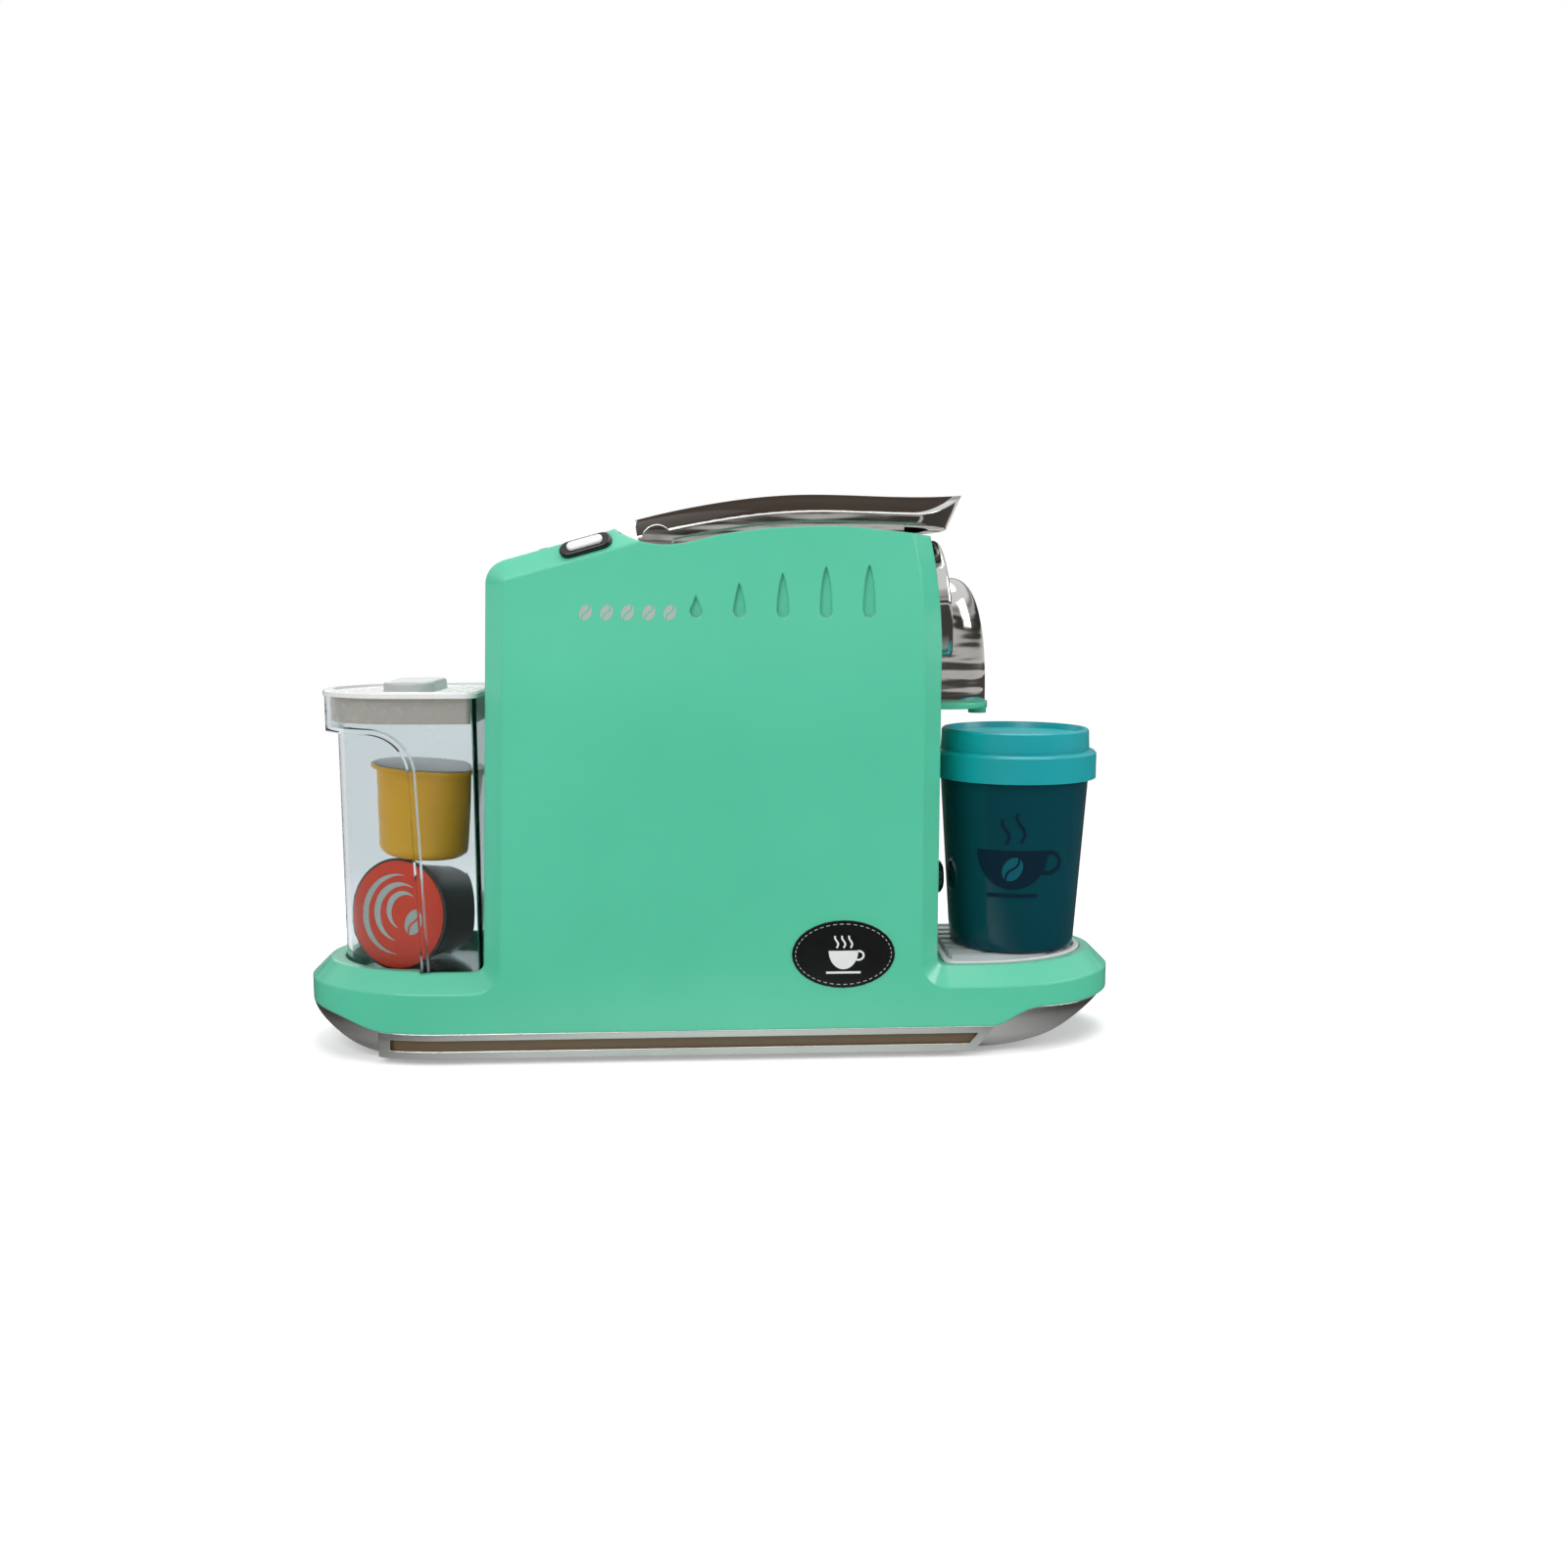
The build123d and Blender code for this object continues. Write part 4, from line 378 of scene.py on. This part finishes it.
# ---------------------------------------------------------------- plinth
# A pan moulded in ABS and chrome-plated: mirror bright with soft waves. A dark brown
# painted shade and painted reflection fills the groove on its right side, and the same
# paint makes a flush band on its left.
def chrome_plate(name):
    """Bright chromium over moulded ABS, waved and faintly streaked, with a breath of haze."""
    made, tree, shader, place, wave, tint = clouded(name, "#bdbcb9", "#d2d1cf", 16 * mm, 1.5, Metallic=1.0,
                                                    Roughness=0.07)
    haze = add_node(tree, "ShaderNodeMapRange",
                    {"Value": wave.outputs["Fac"], "To Min": 0.04, "To Max": 0.13})
    tree.links.new(haze.outputs[0], shader.inputs["Roughness"])
    streak_length, streak_height = 60 * mm, 7 * mm
    streak_scale = (1 / streak_length, 1 / streak_length, 1 / streak_height)
    drawn_out = add_node(tree, "ShaderNodeVectorMath", {0: place.outputs["Object"], 1: streak_scale},
                         operation="MULTIPLY")
    streak = add_node(tree, "ShaderNodeTexNoise",
                      {"Vector": drawn_out.outputs[0], "Scale": 1.0, "Detail": 1.5})
    rounded = add_node(tree, "ShaderNodeBevel", {"Radius": 0.6 * mm}, samples=6)
    streaked = add_node(tree, "ShaderNodeBump", {"Height": streak.outputs["Fac"], "Strength": 0.5,
                                                 "Distance": 0.9 * mm, "Normal": rounded.outputs[0]})
    waved = add_node(tree, "ShaderNodeBump", {"Height": wave.outputs["Fac"], "Strength": 0.3,
                                              "Distance": 0.8 * mm, "Normal": streaked.outputs[0]})
    tree.links.new(waved.outputs[0], shader.inputs["Normal"])
    return made, tree, shader, place, tint


plated = chrome_plate("chrome_plated_abs")[0]
dress(plated, "lever_frame", "front_bezel", "lamp_bezel")

stripe_z, stripe_half_height = 6.3 * mm, 1.84 * mm
stripe_x, stripe_half_length = -9.55 * mm, 96.55 * mm
groove_floor_y = -35.2 * mm
striped, tree, shader, place, tint = chrome_plate("chrome_plated_abs_with_painted_shade_groove")
along = add_node(tree, "ShaderNodeSeparateXYZ", {"Vector": place.outputs["Object"]})
in_height = add_node(tree, "ShaderNodeMath", {0: along.outputs["Z"], 1: stripe_z, 2: stripe_half_height},
                     operation="COMPARE")
in_length = add_node(tree, "ShaderNodeMath", {0: along.outputs["X"], 1: stripe_x, 2: stripe_half_length},
                     operation="COMPARE")
in_depth = add_node(tree, "ShaderNodeMath", {0: along.outputs["Y"], 1: groove_floor_y},
                    operation="GREATER_THAN")
band = add_node(tree, "ShaderNodeMath", {0: in_height.outputs[0], 1: in_length.outputs[0]},
                operation="MULTIPLY")
# Inside this band the chrome gives way to a dark brown, non-metal painted shade. It stands for the dark
# reflection in the groove, and on the left it is a flush painted band.
painted_shade_band = add_node(tree, "ShaderNodeMath", {0: band.outputs[0], 1: in_depth.outputs[0]},
                     operation="MULTIPLY")
# The dark brown here is painted shade and painted reflection, not a lacquer.
chrome_and_painted_shade = add_node(tree, "ShaderNodeMixRGB", {"Fac": painted_shade_band.outputs[0], "Color1": tint.outputs["Color"],
                                               "Color2": linear("#6a563d")})
tree.links.new(chrome_and_painted_shade.outputs["Color"], shader.inputs["Base Color"])
bare_metal = add_node(tree, "ShaderNodeMath", {0: 1.0, 1: painted_shade_band.outputs[0]}, operation="SUBTRACT")
tree.links.new(bare_metal.outputs[0], shader.inputs["Metallic"])
dress(striped, "plinth")

# ---------------------------------------------------------------- lever
# A plated frame with a crowned cap pressed into it, both turning on a plain steel pin.
# The cap's dark brown is painted reflection: it stands for the dark surroundings that a
# plated crown mirrors. The cap is satin and shines in its thin clear coat.
# Dark brown with the specular turned off: painted reflection of dark surroundings.
painted_reflection_cap, tree, shader, *_ = clouded("polished_abs_brown_painted_reflection", "#2b231c", "#392f27", 30 * mm, 3.0,
                                   Roughness=0.18, IOR=1.53, Specular_IOR_Level=0.0, Coat_Weight=0.07,
                                   Coat_Roughness=0.08)
wipe(tree, shader, 2 * mm, 2.0, smooth=0.16, rough=0.26)
dress(painted_reflection_cap, "lever_inlay")

# The pin, the screws and the motor's can are bright steel with lathe marks, which
# are too fine to see and so are drawn a millimetre wide.
steel, tree, shader = start_material("turned_bright_steel", Metallic=1.0, Base_Color=linear("#b4b5b7"),
                                     Roughness=0.25)
wipe(tree, shader, 1 * mm, 2.0, smooth=0.18, rough=0.34)
dress(steel, "lever_pin", "housing_screws", "plate_screws", "door_screw", "pump_motor")

# ---------------------------------------------------------------- spout
# The hood over the nozzle is one thin plated moulding: straight behind, round
# at its front and domed at its top, open below onto the mint plate.
hood_low, hood_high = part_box("spout_cover")
hood_half = (hood_high[1] - hood_low[1]) / 2
hood_tall = hood_high[2] - hood_low[2]
hood_back_x, hood_wall = 73.9 * mm, 1.6 * mm
dome_from = 29.2 * mm      # above this height over its rim the hood closes to a dome
front_power = 2.6          # a higher power makes its front more upright
levels, side_steps, nose_steps = 28, 5, 24
mesh = bmesh.new()
rows = []
for level in range(levels + 1):
    rise = sin(pi / 2 * level / levels)
    front = hood_high[0] - hood_half * (1 - (1 - rise**front_power) ** (1 / front_power))
    arch = max(0.0, (rise * hood_tall - dome_from) / (hood_tall - dome_from))
    half = hood_half * sqrt(max(0.0, 1 - arch**2))
    middle = front - half
    side = [hood_back_x + (middle - hood_back_x) * step / side_steps for step in range(side_steps)]
    nose = [pi * step / nose_steps for step in range(nose_steps + 1)]
    ring = [(x, half) for x in side]
    ring += [(middle + half * sin(turn), half * cos(turn)) for turn in nose]
    ring += [(x, -half) for x in reversed(side)]
    rows.append([mesh.verts.new((x, y, hood_low[2] + rise * hood_tall)) for x, y in ring])
for lower, upper in zip(rows, rows[1:]):
    for step in range(len(lower) - 1):
        mesh.faces.new((lower[step + 1], lower[step], upper[step], upper[step + 1]))
bmesh.ops.remove_doubles(mesh, verts=mesh.verts, dist=2e-5)
for face in mesh.faces:
    face.smooth = True
made = bpy.data.meshes.new("spout_hood")
mesh.to_mesh(made)
mesh.free()
made.materials.append(plated)
hood = bpy.data.objects.new("spout_hood", made)
bpy.context.collection.objects.link(hood)
hood.modifiers.new("wall", "SOLIDIFY").thickness = hood_wall
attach(hood, "machine")
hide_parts("spout_cover")

# ---------------------------------------------------------------- black mouldings
# The capsule well, the base plate and the battery door are black polystyrene
# with a fine spark-eroded grain that scatters the light.
eroded, tree, shader, _, grain, _ = clouded("spark_eroded_polystyrene_black", "#17181a", "#26272a", 0.7 * mm,
                                            2.0, Roughness=0.55, IOR=1.59)
skin = add_node(tree, "ShaderNodeBump",
                {"Height": grain.outputs["Fac"], "Strength": 0.25, "Distance": 0.1 * mm})
tree.links.new(skin.outputs[0], shader.inputs["Normal"])
dress(eroded, "capsule_chamber", "bottom_plate", "battery_door", "speaker")

# The switch pod and the slide knob come from a polished tool, so they shine.
piano = clouded("polished_abs_black", "#0b0b0c", "#151516", 2 * mm, 2.0, Roughness=0.12, IOR=1.53)[0]
dress(piano, "switch_pod", "power_knob")


# ---------------------------------------------------------------- white mouldings
# Button, tank seat, valve and the pump's parts are white ABS, glossy and very
# slightly cloudy where the melt met.
def milky_abs(name):
    """Opaque white ABS that lets the light in a hair's breadth."""
    made, tree, shader, place, _, tint = clouded(name, "#dfdedd", "#ebeae9", 20 * mm, 3.0, Roughness=0.25,
                                                 IOR=1.53, Subsurface_Weight=0.05, Subsurface_Scale=2 * mm)
    wipe(tree, shader, 3 * mm, 2.0, smooth=0.2, rough=0.32)
    return made, tree, shader, place, tint


white = milky_abs("injection_moulded_abs_white")[0]
dress(white, "start_button", "tank_valve", "tank_seat", "pump_housing", "pump_impeller")

# The tank lid is the same white, and its skirt inside the tank is painted a darker
# warm cream as painted shade under the lid.
skirt_top_z = 118.9 * mm
lid_white, tree, shader, place, tint = milky_abs("injection_moulded_abs_white_painted_shade_skirt")
along = add_node(tree, "ShaderNodeSeparateXYZ", {"Vector": place.outputs["Object"]})
skirt = add_node(tree, "ShaderNodeMath", {0: along.outputs["Z"], 1: skirt_top_z}, operation="LESS_THAN")
# Below the skirt's top the white turns to a darker warm cream: painted shade.
thin = add_node(tree, "ShaderNodeMixRGB", {"Fac": skirt.outputs[0], "Color1": tint.outputs["Color"],
                                           "Color2": linear("#c9bbb0")})
tree.links.new(thin.outputs["Color"], shader.inputs["Base Color"])
dress(lid_white, "tank_lid")


# The lid's grip is a clip-in piece of pale grey polypropylene, which is softer
# in its shine and takes a little light in.
def polypropylene(name, dark, light):
    """Moulded polypropylene in one colour, slightly translucent."""
    return clouded(name, dark, light, 10 * mm, 3.0, Roughness=0.35, IOR=1.49, Subsurface_Weight=0.15,
                   Subsurface_Scale=3 * mm)[0]


dress(polypropylene("moulded_polypropylene_pale_grey", "#b0b3b2", "#bec1c0"), "lid_grip")

# The drip tray is a light grey polypropylene too, with a fine moulded grain
# that makes it satin.
grained, tree, shader, place, *_ = clouded("injection_moulded_polypropylene_light_grey", "#cdd1d2", "#dfe2e3",
                                           12 * mm, 3.0, Roughness=0.4, IOR=1.49)
grain = add_node(tree, "ShaderNodeTexNoise",
                 {"Vector": place.outputs["Object"], "Scale": 1 / (0.8 * mm), "Detail": 2.0})
skin = add_node(tree, "ShaderNodeBump",
                {"Height": grain.outputs["Fac"], "Strength": 0.15, "Distance": 0.1 * mm})
tree.links.new(skin.outputs[0], shader.inputs["Normal"])
dress(grained, "drip_tray")

# ---------------------------------------------------------------- water tank
# Moulded clear polystyrene, also for the lamp's lens: a faint grey cast, edges
# drawn in fine lines and some handling haze. Its index is below the real one's,
# so that four faces in a row don't veil the capsules.
clear, tree, shader = start_material("clear_polystyrene_moulded", Base_Color=linear("#e2e8ea"), IOR=1.26,
                                     Transmission_Weight=1.0)
wipe(tree, shader, 8 * mm, 4.0, smooth=0.02, rough=0.07)
dress(clear, "water_tank", "lamp_lens", "lamp_led")

# ---------------------------------------------------------------- hoses, seal and feet
# Silicone tube and ring, milky and soft in their shine; the feet are black
# rubber with a matt, slightly dusty face.
silicone = clouded("extruded_silicone_milky", "#c6cbcb", "#dbdfde", 6 * mm, 2.0, Roughness=0.35, IOR=1.41,
                   Subsurface_Weight=0.3, Subsurface_Scale=2 * mm)[0]
dress(silicone, "inlet_hose", "outlet_hose", "tank_seal")
rubber = clouded("moulded_rubber_black", "#1a1a1a", "#2d2c2b", 1.5 * mm, 3.0, Roughness=0.8, IOR=1.52)[0]
dress(rubber, "feet")

# ---------------------------------------------------------------- electrics
# Cells in a printed sleeve, leaf contacts in nickel-flashed brass and a green
# laminate board; none of it shows until the base plate is off.
gold_from_x = 14 * mm
sleeve, tree, shader = start_material("shrink_sleeve_dark_grey", Roughness=0.35, IOR=1.5)
place = add_node(tree, "ShaderNodeTexCoord")
along = add_node(tree, "ShaderNodeSeparateXYZ", {"Vector": place.outputs["Object"]})
printed = add_node(tree, "ShaderNodeValToRGB", {"Fac": along.outputs["X"]})
printed.color_ramp.interpolation = "CONSTANT"
set_stops(printed, (0.0, "#2b2d31"), (gold_from_x, "#b98b3f"))
tree.links.new(printed.outputs["Color"], shader.inputs["Base Color"])
dress(sleeve, "batteries")

# The rolled strip keeps a warm, uneven shine, and the board a satin green mask.
flashed, tree, shader = start_material("rolled_brass_nickel_flash", Metallic=1.0,
                                       Base_Color=linear("#c9bd9b"))
wipe(tree, shader, 1.2 * mm, 2.0, smooth=0.22, rough=0.38)
dress(flashed, "battery_contacts")
laminate = clouded("solder_masked_glass_laminate", "#16502c", "#1f6a3b", 2 * mm, 2.0, Roughness=0.4,
                   IOR=1.55)[0]
dress(laminate, "circuit_board", "button_board")

# ---------------------------------------------------------------- capsules
# Two thin polypropylene cups, a yellow and a charcoal one, each closed with a
# film. The lying one's lacquered film is printed with a swirl and a bean.
for name, dark, light, node in (
    ("moulded_polypropylene_yellow", "#e2a30c", "#efb018", "capsule_upright_cup"),
    ("moulded_polypropylene_grey", "#858786", "#979998", "capsule_upright_film"),
    ("moulded_polypropylene_charcoal", "#2e2c2b", "#3b3938", "capsule_lying_cup"),
    ("lacquered_film_orange_red", "#dc3209", "#e64014", "capsule_lying_film"),
):
    dress(polypropylene(name, dark, light), node)

film_faces = [face for face in nodes["capsule_lying_film"].data.polygons if face.normal.y < -0.5]
film_area = sum(face.area for face in film_faces)
film_middle = sum((face.center * face.area for face in film_faces), Vector()) / film_area
film_out = sum((face.normal * face.area for face in film_faces), Vector()).normalized()
film_across = Vector((0, 0, 1)).cross(film_out).normalized()
film_up = film_out.cross(film_across)


def film_place(u, v, lift):
    """A point over the lying capsule's film, from its place across it and up it."""
    return film_middle + film_across * u + film_up * v + film_out * lift


def crescent(middle, radius, thickness, start, end):
    """The two edges of an arc that is thick in its middle and pointed at both ends."""
    steps = 20
    edges = ([], [])
    for step in range(steps + 1):
        angle = start + (end - start) * step / steps
        swell = thickness / 2 * sin(pi * step / steps)
        for edge, side in zip(edges, (1, -1)):
            edge.append(Vector(middle) + Vector((cos(angle), sin(angle))) * (radius + side * swell))
    return edges


swirl = []
for middle, radius, thickness, start, end in (
    ((0.6 * mm, 0.0), 13.4 * mm, 2.4 * mm, 0.45 * pi, 1.5 * pi),
    ((1.6 * mm, 0.6 * mm), 9.7 * mm, 2.6 * mm, 0.35 * pi, 1.45 * pi),
    ((2.8 * mm, 1.2 * mm), 6.2 * mm, 2.2 * mm, 0.3 * pi, 1.4 * pi),
):
    swirl.append(crescent(middle, radius, thickness, start, end))
swirl += bean((6.6 * mm, -2.2 * mm), 9.2 * mm, radians(-24))
ink_print("capsule_film_print", swirl, grey_ink, "tank", film_place, ink_lift)

# ---------------------------------------------------------------- cup
# Dark teal styrene, see-through like bottle glass, with a softly glossy skin,
# screen-printed with a cup and a bean in two inks.
tinted = clouded("tinted_polystyrene_teal", "#02434f", "#044e5a", 30 * mm, 2.0, Roughness=0.12, IOR=1.42,
                 Transmission_Weight=0.28)[0]
dress(tinted, "cup")

cup_low, cup_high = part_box("cup")
cup_middle = [(low + high) / 2 for low, high in zip(cup_low[:2], cup_high[:2])]
wall_foot_z, wall_foot_radius = 30.6 * mm, 21.6 * mm
wall_flare = 4.1 / 62.9      # how much the radius grows with the height
print_faces = radians(-102)


def cup_place(u, v, lift):
    """A point over the cup's cone, from its distance round the print and its height."""
    radius = wall_foot_radius + (v - wall_foot_z) * wall_flare
    turn = print_faces + u / radius
    x = cup_middle[0] + (radius + lift) * cos(turn)
    y = cup_middle[1] + (radius + lift) * sin(turn)
    return Vector((x, y, v))


bowl_rim_z, bowl_half, bowl_depth = 66.8 * mm, 12.5 * mm, 13.5 * mm
handle = oval((bowl_half, 62.5 * mm), 4.6 * mm, 3.6 * mm, -2.1, 1.8, 14)
saucer_z, saucer_half, saucer_steps = 51.2 * mm, 8.5 * mm, 17
saucer = [(saucer_half * (2 * step / saucer_steps - 1), saucer_z) for step in range(saucer_steps + 1)]
left_curl = wisp((-2.5 * mm, 69.0 * mm), 8.5 * mm, 1.2 * mm)
right_curl = wisp((2.5 * mm, 69.5 * mm), 10.0 * mm, 1.4 * mm)
printed_cup = [bowl((0.0, bowl_rim_z), bowl_half, bowl_depth, 24), stroke(handle, 1.5 * mm),
               stroke(saucer, 1.4 * mm), stroke(left_curl, 1.1 * mm), stroke(right_curl, 1.1 * mm)]
deep_ink = printed_ink("screen_printed_ink_deep_teal", "#021f2e", "#032636", 0.5, gloss=0.1)
ink_print("cup_print", printed_cup, deep_ink, "cup", cup_place, ink_lift)
printed_bean = bean((0.0, 60.4 * mm), 8.8 * mm, radians(-30))
teal_ink = printed_ink("screen_printed_ink_teal", "#06505e", "#085a68", 0.5, gloss=0.1)
ink_print("cup_print_bean", printed_bean, teal_ink, "cup", cup_place, 2 * ink_lift)

# The lid is turquoise polypropylene, opaque, with a satin skin that thins to a
# glow at its rim.
turquoise = clouded("moulded_polypropylene_turquoise", "#0499a0", "#0aa1a8", 20 * mm, 2.0, Roughness=0.3,
                    IOR=1.49, Subsurface_Weight=0.1, Subsurface_Scale=3 * mm)[0]
dress(turquoise, "cup_lid")
